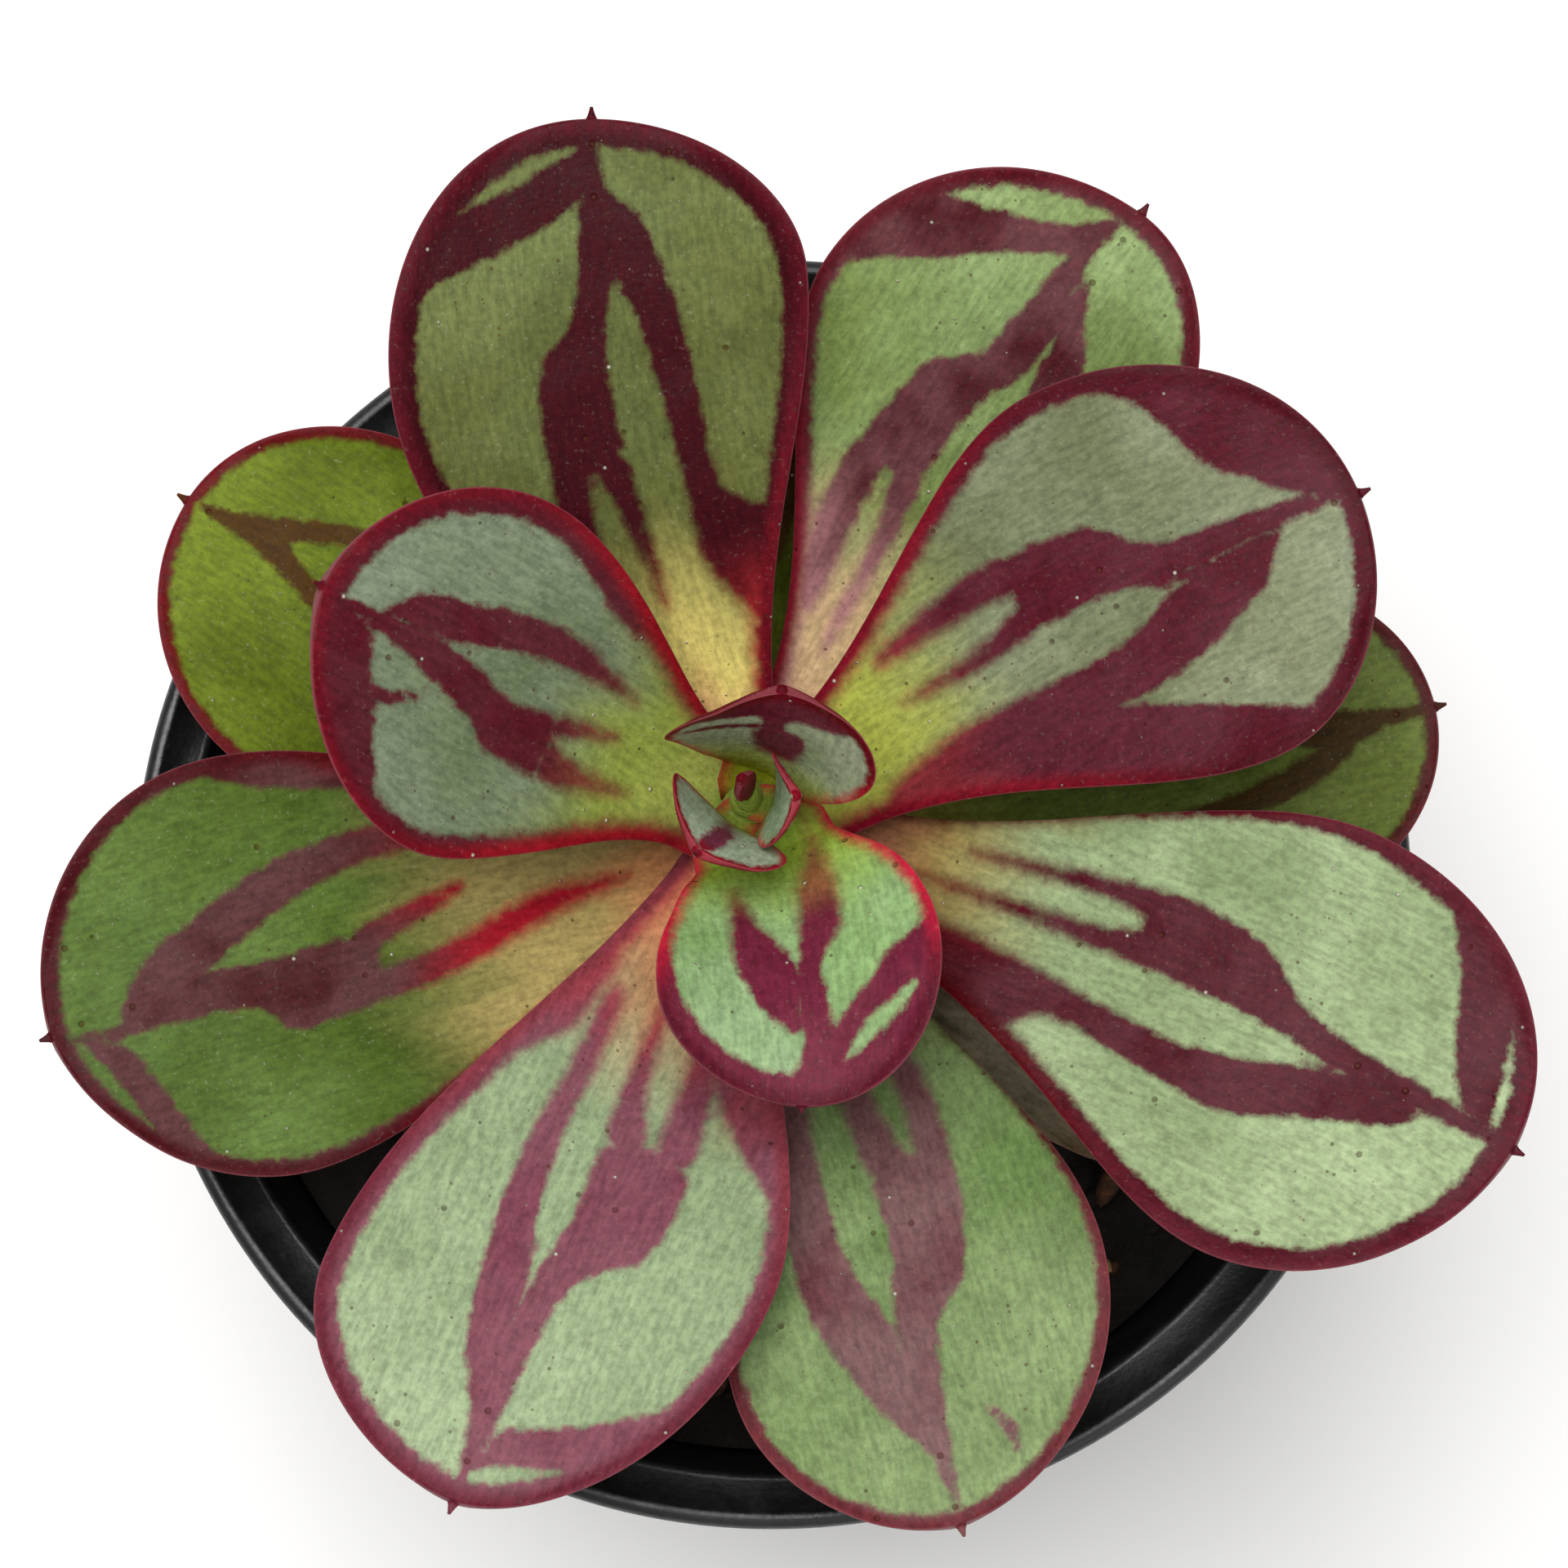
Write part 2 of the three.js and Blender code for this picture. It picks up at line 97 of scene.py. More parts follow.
MUCRO_LENGTH = 0.8                # the small point at each leaf's tip
MUCRO_RADIUS = 0.4
MUCRO_TIP = 0.1
UPPER_SHARE = 0.4                 # of the thickness, above the widest line
TIP_THINNING = 0.35               # share of the thickness lost from foot to tip
FULLEST_SECTION = 1.6             # most thickness, in half widths

# In degrees: heading at mid-length, bend from foot to tip, start and end slopes. tier counts steps up the
# stem. In millimetres: thickness, length, and the half widths foot, left and right. widest and skew are
# shares of the length, and swell, point and cup shape the outline and the section.
LEAF_FIELDS = ("heading", "bend", "tier", "start", "end", "foot", "thickness", "length", "left", "right",
               "widest", "skew", "swell", "point", "cup")
LEAVES = {
    "leaf_dried": (-34, 0, -0.5, 8, -4, 1.8, 1.2, 34, 5.5, 5.5, 0.6, 0, 1.5, 1.1, 0.1),
    "leaf_north_lower": (82, 0, -0.5, 18, 14, 2.4, 2.2, 37, 8, 8, 0.66, 0, 1.5, 1.1, 0.1),
    "leaf_east_lower": (11.5, 0, 0, 14, 10, 3.2, 2.9, 45, 11, 11.5, 0.74, 0, 1.5, 1, 0.1),
    "leaf_north_west_lower": (149, 0, 0, 15, 10, 3.6, 2.9, 44, 14, 12, 0.68, 0, 1.5, 1, 0.1),
    "leaf_north_east": (57.5, -8, 1, 26, 14, 4.2, 2.9, 48, 16, 11.3, 0.7, 0, 2.2, 1, 0.14),
    "leaf_west_south_west": (197.5, 8, 1, 24, 12, 3.8, 2.9, 48, 14.5, 14.5, 0.7, 0, 1.5, 1.1, 0.14),
    "leaf_south_south_east": (-74, 0, 1, 24, 10, 3.9, 2.9, 47, 14.5, 12.2, 0.7, 0.04, 1.5, 1.1, 0.14),
    "leaf_north": (102.5, -25, 2, 30, 12, 4.2, 2.9, 47.5, 15, 14, 0.7, 0.06, 1.5, 1, 0.14),
    "leaf_south_south_west": (-113, 6, 2, 28, 10, 4.2, 2.9, 48.6, 14.6, 13.8, 0.67, -0.09, 1.5, 1.15, 0.14),
    "leaf_east_south_east": (-25.2, -12, 2, 26, 12, 4, 2.9, 53.8, 14.4, 15.8, 0.7, 0.02, 2, 1, 0.14),
    "leaf_east_north_east": (26, -10, 3, 32, 12, 4.2, 2.9, 44, 15, 14, 0.68, 0.06, 1.7, 1, 0.14),
    "leaf_west_north_west": (155, 8, 3, 42, 24, 4.2, 2.9, 32.3, 13.6, 11.4, 0.64, 0, 1.5, 1.1, 0.2),
    "leaf_south_young": (-82, -22, 4, 58, 0, 5, 2.2, 20.8, 9.7, 9.3, 0.57, 0.05, 1.1, 1, 0.22),
    "leaf_crown_north": (75, 26, 4.6, 78, 64, 3, 1.2, 11.6, 7.2, 7, 0.6, 0, 1.2, 1, 0.34),
    "leaf_crown_south_west": (231, -10, 4.9, 82, 52, 1.6, 1.2, 8.2, 4.7, 4.8, 0.55, 0, 1.2, 1.1, 0.3),
    "leaf_crown_east": (-6, 30, 5.2, 84, 74, 1.4, 1.2, 6.6, 3.2, 3.2, 0.5, 0, 1.2, 1.3, 0.34),
    "leaf_bud": (150, 0, 5.65, 90, 80, 0.6, 1.2, 4.5, 1.1, 1.1, 0.4, 0, 1.2, 1.4, 0),
}

# ---- the maroon markings ---------------------------------------------------------------------------
# Each streak is a list of rows (share of the length, left edge, right edge); the edges are shares of the half
# width there, + to the left seen from the foot. Past 1 it runs into the leaf's maroon rim.

OLD_LEAF_STREAKS = [
    [(1.02, 0.06, -0.08), (0.93, 0.07, -0.1), (0.85, 0.12, -0.16), (0.78, 0.2, -0.05),
     (0.68, 0.3, 0.05), (0.58, 0.34, 0.14), (0.48, 0.36, 0.22)],
    [(0.87, -0.04, -0.2), (0.8, -0.12, -0.32), (0.7, -0.24, -0.42), (0.6, -0.32, -0.48),
     (0.5, -0.36, -0.48)],
]

STREAKS = {
    "leaf_north": [
        [(0.97, 0.06, -0.02), (0.94, 0.3, 0), (0.91, 0.5, 0), (0.88, 0.78, 0.1), (0.85, 1.1, 0.28),
         (0.82, 1.1, 0.5), (0.79, 1.1, 0.76), (0.77, 1.1, 0.95)],
        [(1.02, 0.06, -0.06), (0.95, 0.07, -0.06), (0.9, 0.08, -0.09), (0.87, 0.1, -0.12),
         (0.78, 0.1, -0.07), (0.74, 0.13, -0.03), (0.7, 0.18, 0), (0.675, 0.31, 0.01), (0.6, 0.36, 0.02),
         (0.5, 0.4, 0)],
        [(0.53, 0.4, 0.17), (0.45, 0.42, 0.24), (0.38, 0.42, 0.27), (0.3, 0.38, 0.29),
         (0.24, 0.35, 0.31)],
        [(0.53, 0.2, 0), (0.45, 0.12, -0.02), (0.38, 0.08, -0.04), (0.33, 0.05, -0.04),
         (0.28, 0.01, -0.03)],
        [(0.9, -0.05, -0.1), (0.87, -0.05, -0.2), (0.85, -0.05, -0.27), (0.8, -0.05, -0.3),
         (0.765, -0.09, -0.33), (0.7, -0.17, -0.385), (0.62, -0.22, -0.42), (0.52, -0.28, -0.47),
         (0.45, -0.31, -0.53), (0.42, -0.33, -0.7), (0.39, -0.34, -1.1), (0.33, -0.38, -1.1),
         (0.28, -0.6, -1.1), (0.2, -0.88, -1.1)],
    ],
    "leaf_north_east": [
        [(0.97, 0.22, 0.1), (0.94, 0.3, 0.1), (0.91, 0.45, 0.12), (0.88, 0.75, 0.25), (0.86, 0.98, 0.38),
         (0.83, 1.1, 0.5), (0.8, 1.1, 0.58), (0.77, 1.1, 0.7), (0.74, 1.1, 0.85), (0.71, 1.1, 0.93)],
        [(1.02, 0.2, 0.08), (0.93, 0.2, 0.08), (0.87, 0.2, 0.06), (0.8, 0.2, 0), (0.74, 0.21, 0),
         (0.705, 0.24, 0.03), (0.685, 0.32, 0.07), (0.66, 0.42, 0.11), (0.605, 0.47, 0.15),
         (0.55, 0.55, 0.18), (0.5, 0.62, 0.19)],
        [(0.53, 0.6, 0.4), (0.44, 0.74, 0.48), (0.38, 0.86, 0.52), (0.32, 0.92, 0.58),
         (0.26, 0.95, 0.68)],
        [(0.53, 0.38, 0.18), (0.42, 0.34, 0.2), (0.34, 0.4, 0.24), (0.27, 0.47, 0.32), (0.22, 0.48, 0.4)],
        [(0.88, 0.08, 0.02), (0.845, 0.06, -0.07), (0.81, 0.03, -0.16), (0.77, 0, -0.27),
         (0.7, -0.05, -0.35), (0.6, -0.1, -0.4), (0.5, -0.16, -0.42), (0.4, -0.2, -0.42),
         (0.3, -0.24, -0.4), (0.22, -0.26, -0.34)],
    ],
    "leaf_east_north_east": [
        [(0.985, 0.6, 0.02), (0.96, 1.1, 0.05), (0.93, 1.1, 0.12), (0.9, 1.1, 0.2), (0.87, 1.1, 0.3),
         (0.84, 1.1, 0.36), (0.81, 1.1, 0.42), (0.79, 1.1, 0.55), (0.77, 1.1, 0.74), (0.74, 1.1, 0.85),
         (0.7, 1.1, 0.92)],
        [(1.02, 0.14, 0), (0.9, 0.14, 0.01), (0.8, 0.14, -0.02), (0.71, 0.15, -0.02), (0.67, 0.2, -0.02),
         (0.64, 0.3, 0.02), (0.61, 0.38, 0.05), (0.535, 0.43, 0.07), (0.46, 0.5, 0.07)],
        [(0.49, 0.48, 0.26), (0.41, 0.56, 0.35), (0.34, 0.62, 0.41), (0.28, 0.68, 0.47),
         (0.22, 0.74, 0.56)],
        [(0.49, 0.28, 0.07), (0.41, 0.2, 0.06), (0.34, 0.19, 0.05), (0.28, 0.2, 0.1), (0.23, 0.21, 0.16)],
        [(0.88, 0.03, 0), (0.85, 0.02, -0.12), (0.83, 0, -0.22), (0.79, -0.02, -0.28),
         (0.735, -0.03, -0.35), (0.68, -0.06, -0.42), (0.61, -0.17, -0.47), (0.52, -0.24, -0.55),
         (0.44, -0.25, -0.7), (0.34, -0.26, -0.7), (0.27, -0.3, -0.7)],
        [(0.86, -0.95, -1.1), (0.82, -0.9, -1.1), (0.76, -0.77, -1.1), (0.69, -0.67, -1.1),
         (0.61, -0.58, -1.1), (0.52, -0.5, -1.1), (0.45, -0.3, -1.1), (0.35, -0.26, -1.1),
         (0.28, -0.3, -1.1), (0.2, -0.42, -1.1), (0.12, -0.65, -1.1)],
    ],
    "leaf_east_south_east": [
        [(0.965, 0.1, 0), (0.945, 0.55, 0), (0.925, 0.95, 0.05), (0.905, 1.1, 0.14), (0.885, 1.1, 0.3),
         (0.865, 1.1, 0.48), (0.85, 1.1, 0.65), (0.82, 1.1, 0.84), (0.78, 1.1, 0.92)],
        [(1.02, 0.07, -0.06), (0.9, 0.07, -0.07), (0.8, 0.07, -0.08), (0.75, 0.08, -0.06),
         (0.7, 0.13, -0.03), (0.67, 0.18, -0.02), (0.635, 0.32, -0.01), (0.59, 0.37, 0), (0.51, 0.46, 0),
         (0.46, 0.5, 0)],
        [(0.5, 0.46, 0.25), (0.425, 0.51, 0.35), (0.355, 0.56, 0.4), (0.285, 0.6, 0.46),
         (0.215, 0.66, 0.54)],
        [(0.5, 0.28, 0), (0.425, 0.17, 0), (0.355, 0.17, 0), (0.285, 0.19, 0.02), (0.215, 0.2, 0.06),
         (0.15, 0.2, 0.14)],
        [(0.9, -0.05, -0.08), (0.875, -0.04, -0.12), (0.86, -0.03, -0.19), (0.815, -0.04, -0.24),
         (0.745, -0.08, -0.31), (0.69, -0.14, -0.41), (0.635, -0.21, -0.46), (0.565, -0.27, -0.475),
         (0.48, -0.3, -0.51), (0.41, -0.31, -0.55), (0.37, -0.31, -0.7), (0.34, -0.31, -1.1),
         (0.28, -0.3, -1.1), (0.2, -0.3, -1.1), (0.1, -0.5, -1.1)],
    ],
    "leaf_south_south_east": [
        [(1.02, 0.07, 0), (0.9, 0.08, -0.06), (0.83, 0.1, -0.1), (0.76, 0.13, -0.06), (0.7, 0.18, -0.03),
         (0.67, 0.33, -0.02), (0.62, 0.39, 0.04), (0.55, 0.46, 0.06), (0.46, 0.54, 0.05)],
        [(0.49, 0.52, 0.32), (0.41, 0.58, 0.38), (0.34, 0.645, 0.42), (0.27, 0.7, 0.48),
         (0.2, 0.75, 0.56)],
        [(0.49, 0.33, 0.05), (0.41, 0.26, 0.04), (0.34, 0.25, 0.02), (0.27, 0.25, 0.03),
         (0.2, 0.25, 0.08)],
        [(0.93, 0.02, -0.03), (0.89, 0, -0.08), (0.845, 0, -0.2), (0.81, -0.02, -0.27),
         (0.76, -0.03, -0.35), (0.705, -0.05, -0.43), (0.66, -0.1, -0.49), (0.6, -0.2, -0.53),
         (0.52, -0.245, -0.54), (0.44, -0.25, -0.54), (0.34, -0.25, -0.58), (0.25, -0.27, -0.56),
         (0.18, -0.3, -0.5)],
        [(0.93, 0.62, 0.56), (0.9, 0.55, 0.47), (0.87, 0.45, 0.36), (0.85, 0.36, 0.3)],
    ],
    "leaf_south_south_west": [
        [(0.95, 0.12, 0.05), (0.93, 0.35, 0.06), (0.915, 0.7, 0.08), (0.9, 1.1, 0.09), (0.88, 1.1, 0.2),
         (0.865, 1.1, 0.4), (0.845, 1.1, 0.55), (0.82, 1.1, 0.7), (0.79, 1.1, 0.84), (0.75, 1.1, 0.92)],
        [(1.02, 0.07, -0.05), (0.9, 0.09, -0.08), (0.83, 0.09, -0.1), (0.76, 0.09, -0.08),
         (0.69, 0.11, -0.05), (0.64, 0.2, -0.03), (0.615, 0.35, -0.01), (0.58, 0.42, 0.01),
         (0.52, 0.455, 0.01), (0.44, 0.47, -0.01)],
        [(0.46, 0.47, 0.25), (0.37, 0.5, 0.27), (0.3, 0.52, 0.3), (0.22, 0.5, 0.34)],
        [(0.46, 0.24, -0.02), (0.37, 0.12, -0.05), (0.3, 0.08, -0.08), (0.22, 0.02, -0.1)],
        [(0.92, 0, -0.06), (0.88, 0, -0.09), (0.83, -0.02, -0.18), (0.76, -0.03, -0.26),
         (0.675, -0.06, -0.31), (0.605, -0.15, -0.36), (0.52, -0.21, -0.41), (0.45, -0.26, -0.44),
         (0.37, -0.275, -0.48), (0.3, -0.33, -0.56), (0.23, -0.41, -0.66)],
        [(0.5, 1.1, 0.97), (0.45, 1.1, 0.9), (0.41, 1.1, 0.74), (0.36, 1.1, 0.6), (0.33, 1.1, 0.5),
         (0.28, 1.1, 0.45), (0.2, 1.1, 0.6)],
        [(0.62, -0.93, -1.1), (0.55, -0.87, -1.1), (0.44, -0.84, -1.1), (0.37, -0.8, -1.1),
         (0.33, -0.6, -1.1), (0.26, -0.62, -1.1), (0.15, -0.75, -1.1)],
    ],
    "leaf_west_south_west": [
        [(0.96, 0.25, 0.15), (0.935, 0.5, 0.18), (0.915, 0.8, 0.2), (0.9, 1.1, 0.25), (0.88, 1.1, 0.5),
         (0.86, 1.1, 0.72), (0.84, 1.1, 0.9), (0.82, 1.1, 0.97)],
        [(1.02, 0.2, 0.08), (0.95, 0.2, 0.1), (0.9, 0.18, 0.08), (0.86, 0.15, -0.04),
         (0.76, 0.15, -0.05), (0.7, 0.2, -0.03), (0.68, 0.33, -0.02), (0.65, 0.355, -0.02),
         (0.58, 0.345, -0.02), (0.52, 0.36, -0.03)],
        [(0.56, 0.35, 0.2), (0.44, 0.38, 0.18), (0.37, 0.35, 0.13), (0.285, 0.29, 0),
         (0.23, 0.22, -0.07), (0.17, 0.16, -0.06), (0.12, 0.06, -0.02)],
        [(0.56, 0.12, -0.03), (0.48, 0.04, -0.11), (0.425, -0.04, -0.18), (0.37, -0.14, -0.22)],
        [(0.9, 0.08, 0), (0.87, 0.05, -0.15), (0.83, 0.02, -0.25), (0.775, -0.04, -0.3),
         (0.705, -0.14, -0.385), (0.635, -0.25, -0.47), (0.565, -0.33, -0.52), (0.5, -0.4, -0.58),
         (0.44, -0.45, -0.62), (0.38, -0.5, -0.64), (0.3, -0.54, -0.64)],
        [(0.7, -0.92, -1.1), (0.64, -0.84, -1.1), (0.58, -0.8, -1.1), (0.5, -0.8, -1.1),
         (0.4, -0.82, -1.1), (0.3, -0.86, -1.1)],
    ],
    "leaf_west_north_west": [
        [(0.99, 0.5, -0.3), (0.96, 0.8, 0.03), (0.94, 1.1, 0.05), (0.91, 1.1, 0.1), (0.88, 1.1, 0.13),
         (0.86, 1.1, 0.19), (0.83, 1.1, 0.42), (0.81, 1.1, 0.5), (0.79, 1.1, 0.62), (0.77, 1.1, 0.72),
         (0.74, 1.1, 0.88)],
        [(0.85, 0.52, 0.42), (0.79, 0.46, 0.37), (0.75, 0.38, 0.31), (0.71, 0.31, 0.27)],
        [(1.02, 0.14, 0), (0.93, 0.14, 0.01), (0.87, 0.12, 0), (0.79, 0.14, -0.03), (0.7, 0.21, 0),
         (0.62, 0.27, 0.04), (0.585, 0.29, 0.07), (0.565, 0.39, 0.09), (0.51, 0.42, 0.11),
         (0.44, 0.46, 0.07), (0.4, 0.49, 0.04)],
        [(0.42, 0.47, 0.24), (0.37, 0.51, 0.26), (0.3, 0.53, 0.33), (0.24, 0.52, 0.38),
         (0.18, 0.48, 0.42)],
        [(0.42, 0.25, 0.05), (0.37, 0.17, 0.02), (0.31, 0.1, -0.02), (0.26, 0.04, -0.03)],
        [(0.87, 0.03, -0.02), (0.845, 0.02, -0.12), (0.83, 0, -0.17), (0.79, -0.02, -0.25),
         (0.72, -0.03, -0.275), (0.65, -0.06, -0.325), (0.58, -0.14, -0.375), (0.51, -0.19, -0.425),
         (0.44, -0.23, -0.46), (0.37, -0.27, -0.45), (0.31, -0.33, -0.45), (0.26, -0.37, -0.42)],
        [(0.95, -0.6, -1.1), (0.9, -0.78, -1.1), (0.76, -0.82, -1.1), (0.63, -0.86, -1.1),
         (0.52, -0.8, -1.1), (0.44, -0.74, -1.1), (0.38, -0.73, -1.1), (0.3, -0.8, -1.1),
         (0.2, -0.9, -1.1)],
    ],
    "leaf_south_young": [
        [(0.16, -0.42, -0.48), (0.22, -0.37, -0.48), (0.3, -0.29, -0.48), (0.4, -0.17, -0.47),
         (0.48, -0.06, -0.45), (0.54, 0.02, -0.43), (0.64, 0.02, -0.34), (0.72, 0.02, -0.22),
         (0.77, 0.02, -0.08)],
        [(0, 0.72, 0.6), (0.1, 0.57, 0.36), (0.2, 0.5, 0.14), (0.29, 0.45, 0.09), (0.36, 0.41, 0.07),
         (0.43, 0.36, 0.05), (0.48, 0.25, 0.04), (0.53, 0.18, 0.02), (0.6, 0.17, 0), (0.7, 0.22, 0),
         (0.78, 0.27, 0.02), (0.85, 0.38, 0), (0.92, 0.5, -0.15), (0.96, 0.8, -0.4)],
        [(0.46, 1.1, 1), (0.5, 1.1, 0.82), (0.54, 1.1, 0.66), (0.58, 1.1, 0.56), (0.62, 1.1, 0.53),
         (0.66, 1.1, 0.42), (0.72, 1.1, 0.3), (0.78, 1.1, 0.2), (0.85, 1.1, 0.2), (0.92, 1.1, 0.2)],
    ],
    "leaf_crown_north": [
        [(1.02, 1.1, -1.1), (0.9, 1.1, -1.1), (0.82, 1.1, -1), (0.76, 1.1, -0.6), (0.74, 0.3, -0.45),
         (0.76, 0.18, -0.15), (0.62, 0.15, -0.02), (0.61, 0.2, -0.25), (0.55, 0.22, -0.28),
         (0.45, 0.25, -0.3), (0.35, 0.2, -0.3), (0.28, 0.1, -0.2)],
        [(0.58, 0.8, 0.6), (0.6, 0.86, 0.2), (0.64, 0.86, 0.1), (0.66, 0.5, 0.1)],
    ],
    "leaf_crown_south_west": [
        [(1.02, 0.35, -0.3), (0.9, 0.3, -0.2), (0.75, 0.22, -0.1), (0.5, 0.2, -0.12), (0.3, 0.16, -0.12),
         (0.1, 0.1, -0.1)],
    ],
    "leaf_north_west_lower": [
        [(1.02, 0.02, -0.08), (0.94, 0.02, -0.11), (0.885, 0.03, -0.2), (0.86, 0.05, -0.2),
         (0.8, 0.09, -0.03), (0.745, 0.14, 0.02), (0.65, 0.22, 0.08), (0.55, 0.3, 0.14),
         (0.45, 0.34, 0.2)],
        [(0.9, -0.03, -0.15), (0.86, -0.04, -0.25), (0.815, -0.12, -0.31), (0.76, -0.26, -0.39),
         (0.65, -0.32, -0.46), (0.55, -0.36, -0.5), (0.45, -0.38, -0.48)],
    ],
    "leaf_east_lower": OLD_LEAF_STREAKS,
    "leaf_north_lower": OLD_LEAF_STREAKS,
}

# Green slivers inside the maroon, in the same form.
SLIVERS = {
    "leaf_south_young": [
        [(0.65, 0.84, 0.78), (0.7, 0.8, 0.64), (0.745, 0.7, 0.52), (0.79, 0.6, 0.44), (0.83, 0.5, 0.41),
         (0.86, 0.43, 0.4)],
    ],
}

# How wide the maroon rim is, in millimetres: at the tip, low on the left side, low on the right side.
RIMS = {
    "leaf_dried": (0, 0, 0),
    "leaf_north_lower": (0.8, 0.6, 0.6),
    "leaf_east_lower": (1.0, 0.9, 0.9),
    "leaf_north_west_lower": (0.9, 0.9, 0.8),
    "leaf_north_east": (1.3, 1.2, 1.2),
    "leaf_west_south_west": (1.2, 0.9, 1.1),
    "leaf_south_south_east": (1.0, 0.3, 0.9),
    "leaf_north": (1.9, 1.7, 1.5),
    "leaf_south_south_west": (1.6, 1.5, 1.4),
    "leaf_east_south_east": (1.6, 0.3, 1.3),
    "leaf_east_north_east": (1.5, 1.3, 1.4),
    "leaf_west_north_west": (1.6, 1.5, 1.5),
    "leaf_south_young": (2.0, 0.8, 0.8),
    "leaf_crown_north": (0.8, 0.4, 0.5),
    "leaf_crown_south_west": (0.5, 0.45, 0.45),
    "leaf_crown_east": (0.4, 0.35, 0.35),
    "leaf_bud": (0.2, 0.2, 0.2),
}

# Leaf colours. green and tip_green mottle the blade, base takes over below the share base_at, and foot
# colours the very foot. maroon carries a waxy bloom by the share bloomed and turns into blush below base_at.
# rim and rim_low colour the rim towards the tip and towards the foot.
PALETTE_FIELDS = ("green", "tip_green", "base", "foot", "maroon", "bloom", "blush", "rim", "rim_low",
                  "bloomed", "base_at")
PALETTES = {
    "leaf_dried": (
        "#a39a82", "#6e5134", "#7a6c54", "#5c4a34", "#5d4530", "#857662", "#5c4a34", "#6d5a40", "#6d5a40",
        0.18, 0.3),
    "leaf_north_lower": (
        "#5f6c12", "#7f8e2c", "#8a8a38", "#8f7a3c", "#4e3207", "#6b5a2c", "#7a4a2c", "#6a1c1c", "#7a2420",
        0.12, 0.25),
    "leaf_east_lower": (
        "#5c6c1e", "#6d7c3c", "#8a8a38", "#8f7a3c", "#3f2b08", "#5c4a2c", "#7a4a2c", "#551c1e", "#6a2420",
        0.15, 0.25),
    "leaf_north_west_lower": (
        "#56660a", "#7d8f2a", "#8a8a38", "#8f7a3c", "#4e3208", "#6b5426", "#7a4a2c", "#6a0c14", "#7a1c1c",
        0.12, 0.2),
    "leaf_north_east": (
        "#6f8038", "#9db478", "#d8b888", "#dc9c88", "#4a0a16", "#8a5a5e", "#b07a7c", "#5e0f1c", "#8a1c2c",
        0.45, 0.4),
    "leaf_west_south_west": (
        "#4f6420", "#6a8442", "#b8a464", "#e8a068", "#4a1a1c", "#7d5a5a", "#b01a2c", "#4a0a12", "#6a1218",
        0.36, 0.44),
    "leaf_south_south_east": (
        "#688448", "#98ac78", "#8f8f4c", "#a87a50", "#6a3a40", "#8a6c6a", "#6a1c18", "#6c2a30", "#3a1a12",
        0.57, 0.24),
    "leaf_north": (
        "#626632", "#747e4a", "#e6d478", "#eeb080", "#3c030e", "#50141f", "#9a2428", "#560a1a", "#6c0c1c",
        0.21, 0.32),
    "leaf_south_south_west": (
        "#93a67c", "#a9bb92", "#c48a60", "#f09068", "#7a3c4c", "#94626c", "#a83c44", "#6a2232", "#8a3a44",
        0.42, 0.3),
    "leaf_east_south_east": (
        "#96a97a", "#b0c294", "#a08a4c", "#a86a50", "#4c0618", "#704048", "#6a141c", "#5c1624", "#56060e",
        0.42, 0.27),
    "leaf_east_north_east": (
        "#767c58", "#929a7c", "#a6ac4c", "#b4bc4c", "#520a1c", "#6c3844", "#8a3034", "#4c0616", "#7a0c20",
        0.36, 0.3),
    "leaf_west_north_west": (
        "#717e5a", "#808c74", "#8f9c44", "#a0a850", "#54101e", "#643a3e", "#7a4030", "#6a0c1c", "#90101e",
        0.3, 0.34),
    "leaf_south_young": (
        "#8cb06c", "#a2ba90", "#a0c05c", "#98b43c", "#6c1c34", "#8c4452", "#94603c", "#5c1426", "#c8203c",
        0.27, 0.28),
    "leaf_crown_north": (
        "#98a47e", "#a4a890", "#a2ac58", "#7c8018", "#5c1024", "#7c4850", "#8a2028", "#6a0618", "#a81828",
        0.36, 0.3),
    "leaf_crown_south_west": (
        "#a4b494", "#b0bca4", "#9cae7c", "#7c8c34", "#6a1a34", "#8a5064", "#8a2028", "#8a0a20", "#a81424",
        0.3, 0.15),
    "leaf_crown_east": (
        "#98ae84", "#a6b898", "#8ca46c", "#7c8c34", "#780c22", "#8a3c4c", "#8a2028", "#8c0c22", "#a81424",
        0.18, 0.15),
    "leaf_bud": (
        "#6c1a22", "#7c2028", "#7c3424", "#7c8c34", "#640c1a", "#7a3038", "#8a2028", "#640c1a", "#7a1018",
        0.12, 0.1),
}

# ---- fineness --------------------------------------------------------------------------------------

BLADE_STATIONS = 92
TIP_STATIONS = 44
MIDRIB_STEPS = 400
LEAF_SIDES = 116
SMALL_LEAF_SIDES = 72
SMALL_LEAF_LENGTH = 15.0
POT_SEGMENTS = 256
WALL_STEPS = 12
DRAIN_SIDES = 40
SOIL_RINGS = 120
SOIL_SIDES = 320
STEM_RINGS = 150
STEM_SIDES = 72
SEED = 20

# ---- surface detail, in millimetres ----------------------------------------------------------------

RELIEF_DEPTH = 0.5                # of the channel and the keel
FULL_RELIEF_LENGTH = 45.0         # leaves shorter than this have less relief
FULL_MUCRO_LENGTH = 40.0          # leaves shorter than this have a smaller point
MUCRO_HOOK = 0.25
WRINKLE_STRETCH = (1.0, 0.3)      # wrinkles run along the withered leaf
FOOT_DROP = 1.5                   # how far down the stem a foot runs in
PROFILE_EDGE = 0.25               # of the pot's moulded corners
POT_MIDDLE = 0.6                  # radius of the pot's first and last rings, which are filled in
SOIL_MIDDLE = 0.5                 # likewise of the soil's
SCAR_HEIGHT = 0.12                # of the stem's leaf scars
FAR = 1e9                         # farther than any point of a leaf

# ---- floor, light and camera -----------------------------------------------------------------------

